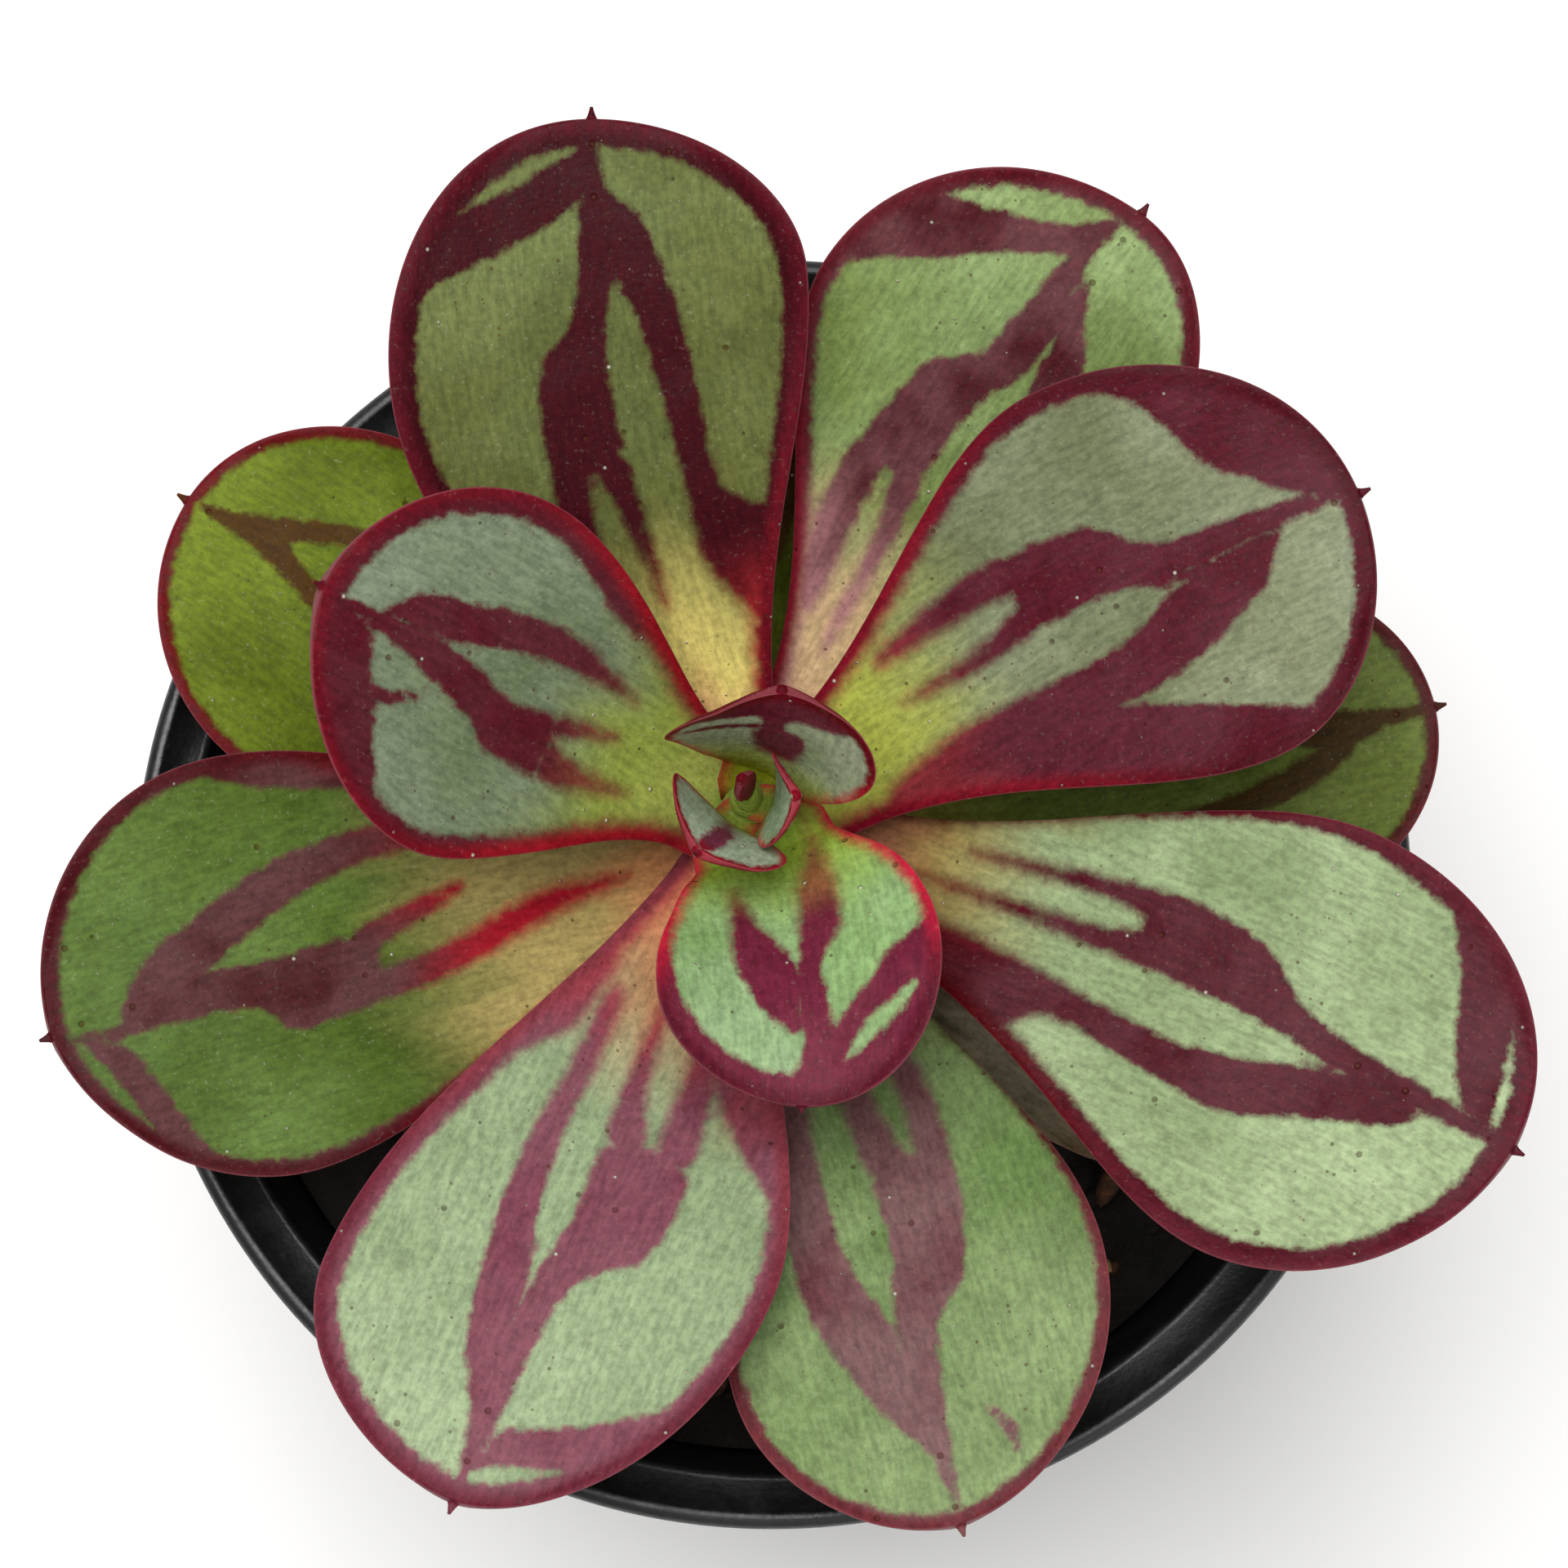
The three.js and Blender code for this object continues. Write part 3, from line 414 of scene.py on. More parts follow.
FLOOR_HALF = 3.0                  # metres
LIGHT_TARGET = (0, 0, 0.08)       # metres
WORLD_STRENGTH = 0.42
CAMERA_TILT = 8.0                 # degrees from straight down
CAMERA_TARGET_MM = (0.8, 5.7, 85.0)
CAMERA_DISTANCE_MM = 340.0
CAMERA_SENSOR = 36.0              # millimetres
CAMERA_LENS = 113.7               # millimetres


# ---- small helpers ---------------------------------------------------------------------------------

def linear(hex_colour):
    """An sRGB hex string as linear RGBA."""
    channels = [int(hex_colour[i:i + 2], 16) / 255 for i in (1, 3, 5)]
    return [c / 12.92 if c <= 0.04045 else ((c + 0.055) / 1.055) ** 2.4 for c in channels] + [1.0]


def mix(a, b, t):
    """From a at t = 0 to b at t = 1."""
    return a + (b - a) * t


def turns(sides):
    """Evenly spaced angles round a circle, in radians."""
    return 2 * math.pi * np.arange(sides) / sides


def smooth(low, high, x):
    """0 below low, 1 above high, and smooth between them."""
    t = np.clip((x - low) / (high - low), 0, 1)
    return t * t * (3 - 2 * t)


def ripple(points, size, seed, waves=14):
    """A smooth random field from -1 to 1 or so, with bumps of about that size."""
    rng = np.random.default_rng(SEED + seed)
    total = np.zeros(len(points))
    for _ in range(waves):
        direction = rng.normal(size=points.shape[1])
        direction *= 2 * math.pi / (size * rng.uniform(0.8, 2.0)) / np.linalg.norm(direction)
        total += np.cos(points @ direction + rng.uniform(0, 2 * math.pi))
    return total / math.sqrt(waves)


def ring_faces(rings, sides):
    """Quads that join rings of points, in order."""
    i, j = np.meshgrid(np.arange(rings - 1), np.arange(sides), indexing="ij")
    after = (j + 1) % sides
    quads = np.stack([i * sides + j, i * sides + after, (i + 1) * sides + after, (i + 1) * sides + j], -1)
    return quads.reshape(-1, 4).tolist()


def capped(faces, rings, sides):
    """The same faces with both end rings filled in."""
    last = (rings - 1) * sides
    return faces + [list(range(sides - 1, -1, -1)), [last + j for j in range(sides)]]


def make_piece(name, points_mm, faces, material, nodes, fields=None):
    """A smooth mesh piece that rides on the body and stands for the CAD nodes."""
    mesh = bpy.data.meshes.new(name)
    mesh.from_pydata((np.asarray(points_mm) * MM).tolist(), [], faces)
    mesh.validate()
    for field, values in (fields or {}).items():
        layer = mesh.attributes.new(field, "FLOAT", "POINT")
        layer.data.foreach_set("value", np.asarray(values, np.float32))
    mesh.shade_smooth()
    mesh.materials.append(material)
    piece = bpy.data.objects.new(name, mesh)
    bpy.context.scene.collection.objects.link(piece)
    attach(piece, BODY)
    if nodes:
        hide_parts(*nodes)
    return piece


# ---- node graphs -----------------------------------------------------------------------------------

class Graph:
    """A material's node tree with short calls for the nodes that the materials are made of."""

    def __init__(self, name):
        self.material = bpy.data.materials.new(name)
        self.material.use_nodes = True
        self.tree = self.material.node_tree
        self.shader = self.tree.nodes["Principled BSDF"]
        self.place = self.add("ShaderNodeTexCoord").outputs["Object"]

    def add(self, kind, **settings):
        node = self.tree.nodes.new(kind)
        for key, value in settings.items():
            setattr(node, key, value)
        return node

    def plug(self, socket, value):
        """Links a socket, or sets a hex colour or a plain value."""
        if isinstance(value, bpy.types.NodeSocket):
            self.tree.links.new(value, socket)
        elif isinstance(value, str):
            socket.default_value = linear(value)
        else:
            socket.default_value = value

    def field(self, name):
        return self.add("ShaderNodeAttribute", attribute_name=name).outputs["Fac"]

    def calc(self, operation, a, b=0.0, c=0.0):
        """One Math node."""
        node = self.add("ShaderNodeMath", operation=operation)
        for socket, value in zip(node.inputs, (a, b, c)):
            self.plug(socket, value)
        return node.outputs[0]

    def step(self, value, low, high, to_low=0.0, to_high=1.0):
        """Smooth from to_low at low to to_high at high."""
        node = self.add("ShaderNodeMapRange", interpolation_type="SMOOTHSTEP")
        for socket, entry in zip(node.inputs, (value, low, high, to_low, to_high)):
            self.plug(socket, entry)
        return node.outputs[0]

    def noise(self, size_mm, detail=2.0, rough=0.5, vector=None, distortion=0.0):
        """Noise from 0 to 1 with bumps of that size; a given vector is already in millimetres."""
        node = self.add("ShaderNodeTexNoise")
        node.inputs["Scale"].default_value = 1 / (size_mm if vector else size_mm * MM)
        node.inputs["Detail"].default_value = detail
        node.inputs["Roughness"].default_value = rough
        node.inputs["Distortion"].default_value = distortion
        self.tree.links.new(vector or self.place, node.inputs["Vector"])
        return node.outputs["Fac"]

    def spots(self, size_mm, vector):
        """Distance from the middle of the nearest cell, in cells, and that cell's random value."""
        node = self.add("ShaderNodeTexVoronoi", voronoi_dimensions="2D")
        node.inputs["Scale"].default_value = 1 / size_mm
        self.tree.links.new(vector, node.inputs["Vector"])
        random = self.add("ShaderNodeSeparateColor")
        self.tree.links.new(node.outputs["Color"], random.inputs[0])
        return node.outputs["Distance"], random.outputs[0]

    def dots(self, vector, size_mm, rarity, growth):
        """Scattered soft dots of different sizes, in the cells whose random value is above rarity."""
        distance, chance = self.spots(size_mm, vector)
        size = self.calc("MULTIPLY", self.calc("SUBTRACT", chance, rarity), growth)
        return self.step(self.calc("SUBTRACT", distance, size), 0.03, -0.03)

    def blend(self, share, a, b, kind="MIX"):
        node = self.add("ShaderNodeMix", data_type="RGBA", blend_type=kind)
        self.plug(node.inputs[0], share)
        self.plug(node.inputs[6], a)
        self.plug(node.inputs[7], b)
        return node.outputs[2]

    def vector(self, x, y):
        node = self.add("ShaderNodeCombineXYZ")
        for socket, value in zip(node.inputs, (x, y)):
            self.plug(socket, value)
        return node.outputs[0]

    def bump(self, height, depth_mm):
        node = self.add("ShaderNodeBump")
        node.inputs["Strength"].default_value = 1.0
        node.inputs["Distance"].default_value = depth_mm * MM
        self.plug(node.inputs["Height"], height)
        self.plug(self.shader.inputs["Normal"], node.outputs["Normal"])

    def finish(self, colour, roughness, **constants):
        self.plug(self.shader.inputs["Base Color"], colour)
        self.plug(self.shader.inputs["Roughness"], roughness)
        for key, value in constants.items():
            self.shader.inputs[key.replace("_", " ")].default_value = value
        return self.material


def leaf_material(name, palette):
    """Fleshy leaf: mottled green, maroon streaks and rim with ragged edges, waxy bloom, specks and dust."""
    g = Graph(name)
    along = g.field("along")
    edge = g.field("edge")
    flat = g.vector(g.field("across_mm"), g.field("along_mm"))
    grain_way = g.vector(g.field("across_mm"), g.calc("MULTIPLY", g.field("along_mm"), 0.22))
    fine = g.noise(0.5, 3.0, 0.6)
    grain = g.noise(0.42, 2.0, 0.6, grain_way)
    patch = g.noise(9.0, 2.0)

    # greens, from the tip to the foot
    mottle = g.calc("MULTIPLY", g.step(patch, 0.25, 0.75), 0.6)
    paler = g.calc("ADD", mottle, g.step(along, 0.5, 1.0, 0.0, 0.5))
    green = g.blend(paler, palette["green"], palette["tip_green"])
    wander = g.calc("MULTIPLY_ADD", g.calc("SUBTRACT", g.noise(5.0, 2.0, 0.5, grain_way), 0.5), 0.3, along)
    low = palette["base_at"]
    cloud = g.step(g.noise(14.0, 3.0, 0.6), 0.42, 0.66)
    green = g.blend(g.calc("MULTIPLY", cloud, 0.45), green, g.blend(1.0, green, "#b8c0ac", "MULTIPLY"))
    green = g.blend(g.step(wander, low + 0.12, low - 0.16), green, palette["base"])
    green = g.blend(g.step(wander, 0.2, 0.02), green, palette["foot"])

    # maroons
    bloom_share = g.calc("MULTIPLY", g.step(g.noise(7.0, 3.0, 0.6), 0.3, 0.62), palette["bloomed"])
    maroon = g.blend(bloom_share, palette["maroon"], palette["bloom"])
    maroon = g.blend(g.step(wander, low + 0.1, low - 0.12), maroon, palette["blush"])
    rim_colour = g.blend(g.step(along, 0.7, 0.35), palette["rim"], palette["rim_low"])
    maroon = g.blend(g.step(edge, 1.5, 0.3), maroon, rim_colour)

    # where the maroon is: the streaks' own outline, made ragged, and thinning out at the foot
    ragged = g.calc("MULTIPLY_ADD", g.calc("SUBTRACT", g.noise(1.1, 4.0, 0.65), 0.5), 1.1, g.field("streak"))
    ragged = g.calc("MULTIPLY_ADD", g.calc("SUBTRACT", grain, 0.5), 0.5, ragged)
    softness = g.step(along, 0.15, 0.6, 0.85, 0.3)
    mask = g.step(ragged, g.calc("MULTIPLY", softness, -1.0), softness)
    colour = g.blend(mask, green, maroon)

    # grain of the skin, pits with a brown ring, and dust
    tone = g.step(g.calc("ADD", g.calc("MULTIPLY", fine, 0.5), g.calc("MULTIPLY", grain, 0.5)), 0.28, 0.72)
    colour = g.blend(1.0, colour, g.blend(tone, "#c2c2c2", "#ffffff"), "MULTIPLY")
    pale = g.calc("MULTIPLY", g.step(g.noise(0.3, 2.0, 0.5), 0.6, 0.8), g.step(mask, 0.0, 1.0, 0.12, 0.05))
    colour = g.blend(pale, colour, "#dcdcc4")
    pit = g.dots(flat, 2.6, 0.84, 0.5)
    freckle = g.calc("MULTIPLY", g.dots(flat, 0.9, 0.72, 0.5), g.step(patch, 0.4, 0.62))
    colour = g.blend(g.calc("MULTIPLY", g.calc("MAXIMUM", pit, freckle), 0.6), colour, "#43210f")
    dust = g.dots(g.vector(g.field("along_mm"), g.field("across_mm")), 2.2, 0.88, 0.5)
    colour = g.blend(g.calc("MULTIPLY", dust, 0.6), colour, "#d8cfbe")

    # the very edge catches the light
    colour = g.blend(g.calc("MULTIPLY", g.step(edge, 0.14, 0.0), 0.16), colour, "#c87c84")

    height = g.calc("MULTIPLY_ADD", fine, 0.6, g.calc("MULTIPLY", grain, 0.4))
    height = g.calc("SUBTRACT", height, g.calc("MULTIPLY", pit, 1.2))
    g.bump(g.calc("ADD", height, g.calc("MULTIPLY", dust, 1.5)), 0.09)
    roughness = g.step(g.calc("ADD", fine, g.calc("MULTIPLY", mask, -0.2)), 0.1, 0.9, 0.42, 0.62)
    return g.finish(colour, roughness,
                    Subsurface_Weight=0.06, Subsurface_Scale=0.0015, Specular_IOR_Level=0.07)


def plastic_material():
    """Black semi-gloss moulded plastic with fine scuffs and a little dust."""
    g = Graph("pot_plastic")
    scuffs = g.noise(9.0, 6.0, 0.75, distortion=1.5)
    fine = g.noise(0.4, 2.0, 0.6)
    dust = g.step(g.noise(1.2, 5.0, 0.8), 0.6, 0.78)
    colour = g.blend(g.step(scuffs, 0.42, 0.72), "#0b0b0e", "#17181c")
    colour = g.blend(g.calc("MULTIPLY", dust, 0.28), colour, "#5b5850")
    g.bump(g.calc("MULTIPLY_ADD", scuffs, 0.5, fine), 0.03)
    roughness = g.step(g.calc("MULTIPLY_ADD", fine, 0.35, scuffs), 0.3, 0.9, 0.27, 0.5)
    return g.finish(colour, roughness)


def crumb_material(name, dark, light, size_mm):
    """Matt crumbly stuff: two tones broken up by noise, with rough bumps."""
    g = Graph(name)
    broad = g.noise(size_mm * 3, 4.0, 0.7)
    fine = g.noise(size_mm * 0.5, 4.0, 0.7)
    tone = g.step(g.calc("ADD", g.calc("MULTIPLY", broad, 0.6), g.calc("MULTIPLY", fine, 0.4)), 0.35, 0.65)
    g.bump(g.calc("ADD", broad, fine), size_mm * 0.4)
    return g.finish(g.blend(tone, dark, light), g.step(fine, 0.2, 0.8, 0.8, 1.0))


def bark_material():
    """Dry stem skin: rings of pale leaf scars round a brown bark."""
    g = Graph("stem_bark")
    stretched = g.add("ShaderNodeMapping")
    stretched.inputs["Scale"].default_value = (1 / MM, 1 / MM, 4 / MM)
    g.plug(stretched.inputs["Vector"], g.place)
    rings = g.noise(3.0, 4.0, 0.7, stretched.outputs[0])
    fine = g.noise(0.5, 4.0, 0.7)
    colour = g.blend(g.step(rings, 0.38, 0.62), "#4a3a22", "#8f7a52")
    colour = g.blend(g.step(fine, 0.55, 0.75), colour, "#2c2014")
    height = g.add("ShaderNodeSeparateXYZ")
    g.plug(height.inputs[0], g.place)
    fresh = g.step(height.outputs["Z"], (CROWN_LEVEL - 6) * MM, (CROWN_LEVEL - 1) * MM)
    colour = g.blend(fresh, colour, g.blend(fine, "#6f8420", "#93a63c"))
    g.bump(g.calc("ADD", rings, g.calc("MULTIPLY", fine, 0.5)), 0.3)
    return g.finish(colour, g.step(fine, 0.2, 0.8, 0.75, 0.95))


def floor_material():
    """Pale matt card."""
    g = Graph("floor_card")
    tone = g.noise(40.0, 3.0)
    return g.finish(g.blend(tone, "#f4f3f1", "#f8f7f5"), g.step(tone, 0.0, 1.0, 0.85, 0.95))


# ---- leaves ----------------------------------------------------------------------------------------

def stem_axis(z):
    """The middle of the leaning stem at a height."""
    rise = z - SOIL_LEVEL
    return np.array([STEM_EAST + STEM_LEAN_EAST * rise, STEM_NORTH + STEM_LEAN_NORTH * rise, z])


def stem_radius(z):
    if z > CROWN_LEVEL:
        return mix(CROWN_RADIUS, STEM_TIP_RADIUS, min(1, (z - CROWN_LEVEL) / (STEM_TOP - CROWN_LEVEL)))
    return mix(STEM_RADIUS, CROWN_RADIUS, max(0, (z - SOIL_LEVEL) / (CROWN_LEVEL - SOIL_LEVEL)))


def half_width(leaf, shares, side):
    """Half width at shares of the length: an even swelling up to the widest place, then a rounded end."""
    half = leaf["left"] if side > 0 else leaf["right"]
    widest = leaf["widest"] - math.copysign(leaf["skew"], side)
    rising = np.sin(math.pi / 2 * np.clip(shares / widest, 0, 1) ** leaf["swell"])
    k = (shares - widest) / (1 - widest)
    closing = np.maximum(MUCRO_RADIUS, half * np.clip(1 - k * k, 0, 1) ** (leaf["point"] / 2))
    return np.where(shares < widest, leaf["foot"] + (half - leaf["foot"]) * rising, closing)


def stations(leaf):
    """Shares of the length where the skin has rings, closer together towards the tip."""
    widest = leaf["widest"]
    blade = widest * np.arange(BLADE_STATIONS) / BLADE_STATIONS
    tip = mix(widest, 1, np.sin(np.arange(TIP_STATIONS + 1) / TIP_STATIONS * math.pi / 2))
    return np.concatenate([blade, tip])


def directions(leaf, shares):
    """Unit vectors along the midrib and to its left, at shares of the length."""
    slope = np.radians(mix(leaf["start"], leaf["end"], shares))
    heading = np.radians(leaf["heading"] + leaf["bend"] * (shares - 0.5))
    level = np.cos(slope)
    forward = np.stack([level * np.cos(heading), level * np.sin(heading), np.sin(slope)], -1)
    left = np.stack([-np.sin(heading), np.cos(heading), 0 * heading], -1)
    return forward, left


def leaf_foot(leaf):
    """Where the midrib starts, beside the stem."""
    z = LOWEST_LEVEL + leaf["tier"] * TIER_STEP
    inward = leaf["thickness"] * (1 - UPPER_SHARE) * math.sin(math.radians(leaf["start"]))
    reach = 0 if leaf["tier"] > LAST_TIER else stem_radius(z) + FIT_GAP + inward
    heading = math.radians(leaf["heading"] - leaf["bend"] / 2)
    return stem_axis(z) + reach * np.array([math.cos(heading), math.sin(heading), 0])


def midrib(leaf, shares):
    """The midrib's points, with its forward, left and upper directions there."""
    steps = MIDRIB_STEPS
    middles = (np.arange(steps) + 0.5) / steps
    walk = np.cumsum(directions(leaf, middles)[0], 0) * leaf["length"] / steps
    walk = np.vstack([np.zeros(3), walk]) + leaf_foot(leaf)
    marks = np.linspace(0, 1, steps + 1)
    places = np.stack([np.interp(shares, marks, walk[:, k]) for k in range(3)], -1)
    forward, left = directions(leaf, shares)
    return places, forward, left, np.cross(forward, left)


def flat_place(leaf, shares, across):
    """Where a point of the blade lies when the leaf is laid flat: across and along, in millimetres."""
    held = np.clip(shares, 0, 1)
    half = np.where(across > 0, half_width(leaf, held, 1), half_width(leaf, held, -1))
    return np.stack([across * half, shares * leaf["length"]], -1)


def rounded(outline, rounds=2):
    """Cuts the corners of a closed outline."""
    for _ in range(rounds):
        after = np.roll(outline, -1, 0)
        outline = np.stack([0.75 * outline + 0.25 * after, 0.25 * outline + 0.75 * after], 1).reshape(-1, 2)
    return outline


def distance_to_line(points, start, end):
    run = end - start
    share = np.clip((points - start) @ run / (run @ run + 1e-12), 0, 1)
    return np.linalg.norm(points - start - share[:, None] * run, axis=1)


def depth_inside(points, outline):
    """Distance to a closed outline: above 0 inside it, below 0 outside."""
    nearest = np.full(len(points), FAR)
    inside = np.zeros(len(points), bool)
    for start, end in zip(outline, np.roll(outline, -1, 0)):
        nearest = np.minimum(nearest, distance_to_line(points, start, end))
        crosses = (start[1] > points[:, 1]) != (end[1] > points[:, 1])
        rise = end[1] - start[1]
        at = start[0] + (points[:, 1] - start[1]) / (rise if rise else 1e-12) * (end[0] - start[0])
        inside ^= crosses & (points[:, 0] < at)
    return np.where(inside, nearest, -nearest)


def streak_outline(leaf, rows):
    """A streak's closed outline on the flat leaf, from its rows."""
    table = np.array(rows, float)
    shares = np.concatenate([table[:, 0], table[::-1, 0]])
    across = np.concatenate([table[:, 1], table[::-1, 2]])
    corners = rounded(np.stack([shares, across], -1))
    return flat_place(leaf, corners[:, 0], corners[:, 1])


def edge_distance(leaf, points):
    """Distance from the leaf's side edges, laid flat; the foot isn't an edge."""
    shares = stations(leaf)[::3]
    shares = np.append(shares, 1.0)
    nearest = np.full(len(points), FAR)
    for side in (1.0, -1.0):
        line = flat_place(leaf, shares, np.full(len(shares), side))
        for start, end in zip(line[:-1], line[1:]):
            nearest = np.minimum(nearest, distance_to_line(points, start, end))
    return nearest


def marking_fields(name, leaf, shares, across):
    """What the leaf's material reads: how deep in the maroon each point is, and where it is on the blade."""
    points = flat_place(leaf, shares, across)
    edge = edge_distance(leaf, points)
    tip, left, right = RIMS[name]
    low = np.where(across > 0, left, right)
    depth = mix(low, tip, smooth(0.35, 0.85, shares)) - edge
    for rows in STREAKS.get(name, ()):
        depth = np.maximum(depth, depth_inside(points, streak_outline(leaf, rows)))
    for rows in SLIVERS.get(name, ()):
        depth = np.minimum(depth, -depth_inside(points, streak_outline(leaf, rows)))
    return {"streak": depth, "edge": edge, "along": shares,
            "across_mm": points[:, 0], "along_mm": points[:, 1]}


def leaf_points(name, leaf, shares, sides):
    """The leaf's skin as rings of points, with the share and the place across of each."""
    places, _, left, upper = midrib(leaf, shares)
    halves = [half_width(leaf, shares, 1), half_width(leaf, shares, -1)]
    flesh = leaf["thickness"] * (1 - TIP_THINNING * shares)
    deep = np.minimum(flesh, FULLEST_SECTION * np.minimum(*halves))
    turn = turns(sides)
    across = np.cos(turn)[None, :]
    width = np.where(across > 0, halves[0][:, None], halves[1][:, None])
    share_of_depth = np.where(np.sin(turn) > 0, UPPER_SHARE, 1 - UPPER_SHARE) * np.sin(turn)
    rise = leaf["cup"] * width * across ** 2 + deep[:, None] * share_of_depth[None, :]
    rise = rise + leaf_relief(name, leaf, shares, across, width, np.sin(turn)[None, :])
    points = places[:, None] + left[:, None] * (width * across)[..., None] + upper[:, None] * rise[..., None]
    share_grid, across_grid = np.broadcast_arrays(shares[:, None], across)
    return points, share_grid.ravel(), across_grid.ravel()


def leaf_relief(name, leaf, shares, across, width, upper_side):
    """What the plain section lacks: a channel above, a keel below, and an uneven, lipped rim."""
    size = min(1.0, leaf["length"] / FULL_RELIEF_LENGTH)
    along = shares[:, None]
    fade = smooth(0, 0.12, along) * smooth(1, 0.93, along)
    channel = -RELIEF_DEPTH * size * np.exp(-(across / 0.3) ** 2) * smooth(0.75, 0.2, along)
    channel = channel * (upper_side > 0) * upper_side
    keel = -RELIEF_DEPTH * size * np.exp(-(across / 0.25) ** 2) * smooth(0.95, 0.3, along)
    keel = keel * (upper_side < 0) * -upper_side
    lip = 0.28 * size * smooth(0.8, 1.0, np.abs(across))
    seed = len(name) + int(leaf["heading"]) % 97
    spots = np.stack(np.broadcast_arrays(width * across, along * leaf["length"]), -1).reshape(-1, 2)
    sway = ripple(spots, 17.0 * size, seed).reshape(width.shape)
    dimple = ripple(spots, 5.0 * size, seed + 1).reshape(width.shape)
    uneven = sway * 0.32 * size * np.abs(across) + dimple * 0.05 * size
    if name == "leaf_dried":
        stretched = spots * WRINKLE_STRETCH
        wrinkles = ripple(stretched, 2.0, 77) * 0.32 + ripple(stretched, 0.9, 78) * 0.14
        uneven = uneven + wrinkles.reshape(width.shape) + 1.3 * np.abs(across) ** 3 * smooth(0.2, 0.9, along)
    return (channel + keel + lip + uneven) * fade


def foot_rings(leaf, ring):
    """The foot's last ring carried on into the stem, where the leaf grows from."""
    foot = leaf_foot(leaf)
    inward = stem_axis(foot[2] - FOOT_DROP) - foot
    return [foot + (ring - foot) * size + inward * share for share, size in ((0.9, 0.7), (0.45, 0.95))]


def mucro_rings(leaf, place, forward, left, upper, sides):
    """The small hooked point at the tip, as rings past the blade's end."""
    turn = turns(sides)
    grown = min(1.0, leaf["length"] / FULL_MUCRO_LENGTH)
    rings = []
    for share in (0.25, 0.5, 0.75, 1.0):
        radius = mix(MUCRO_RADIUS, MUCRO_TIP, share ** 0.7) * grown
        middle = place + forward * MUCRO_LENGTH * grown * share + upper * MUCRO_HOOK * share ** 2
        rings.append(middle + radius * (np.cos(turn)[:, None] * left + np.sin(turn)[:, None] * upper))
    return rings


def carried_on(fields, leaf, sides, foot_count, tip_count):
    """The blade's fields, with values added for the rings of the foot and of the point."""
    tip_values = {"streak": 2.0, "edge": 1.0, "along": 1.0, "across_mm": 0.0, "along_mm": leaf["length"]}
    whole = {}
    for key, values in fields.items():
        at_foot = np.tile(values[:sides], foot_count)
        at_tip = np.full(tip_count * sides, tip_values[key])
        whole[key] = np.concatenate([at_foot, values, at_tip])
    return whole


def make_leaf(name):
    """The leaf's whole skin, foot, blade and point, with the fields that its material reads."""
    leaf = dict(zip(LEAF_FIELDS, LEAVES[name]))
    sides = SMALL_LEAF_SIDES if leaf["length"] < SMALL_LEAF_LENGTH else LEAF_SIDES
    shares = stations(leaf)
    points, along, across = leaf_points(name, leaf, shares, sides)
    places, forward, left, upper = midrib(leaf, shares)
    tip = mucro_rings(leaf, places[-1], forward[-1], left[-1], upper[-1], sides)
    foot = foot_rings(leaf, points[0])
    skin = np.concatenate([np.stack(foot), points, np.stack(tip)]).reshape(-1, 3)
    rings = len(foot) + len(shares) + len(tip)
    markings = marking_fields(name, leaf, along, across)
    fields = carried_on(markings, leaf, sides, len(foot), len(tip))
    palette = dict(zip(PALETTE_FIELDS, PALETTES[name]))
    material = leaf_material(name + "_skin", palette)
    faces = capped(ring_faces(rings, sides), rings, sides)
    make_piece(name + "_skin", skin, faces, material, [name], fields)


# ---- pot -------------------------------------------------------------------------------------------

def inner_wall(z):
    """Radius of the pot's inside at a height."""
    return mix(FLOOR_RADIUS, MOUTH_RADIUS, (z - FLOOR_TOP) / (MOUTH_LEVEL - FLOOR_TOP))


def arc(radius, height, size, start, end, steps):
    """Points round a corner of the profile, from one angle to the other, in degrees."""
    turns = np.radians(np.linspace(start, end, steps))
    return [(radius + size * math.cos(t), height + size * math.sin(t)) for t in turns]


def wall_points(start, end, offset):
    """Profile points along the sloping wall between two heights, offset outwards from its inside."""
    levels = [mix(start, end, step / WALL_STEPS) for step in range(1, WALL_STEPS + 1)]
    return [(inner_wall(z) + offset, z) for z in levels]


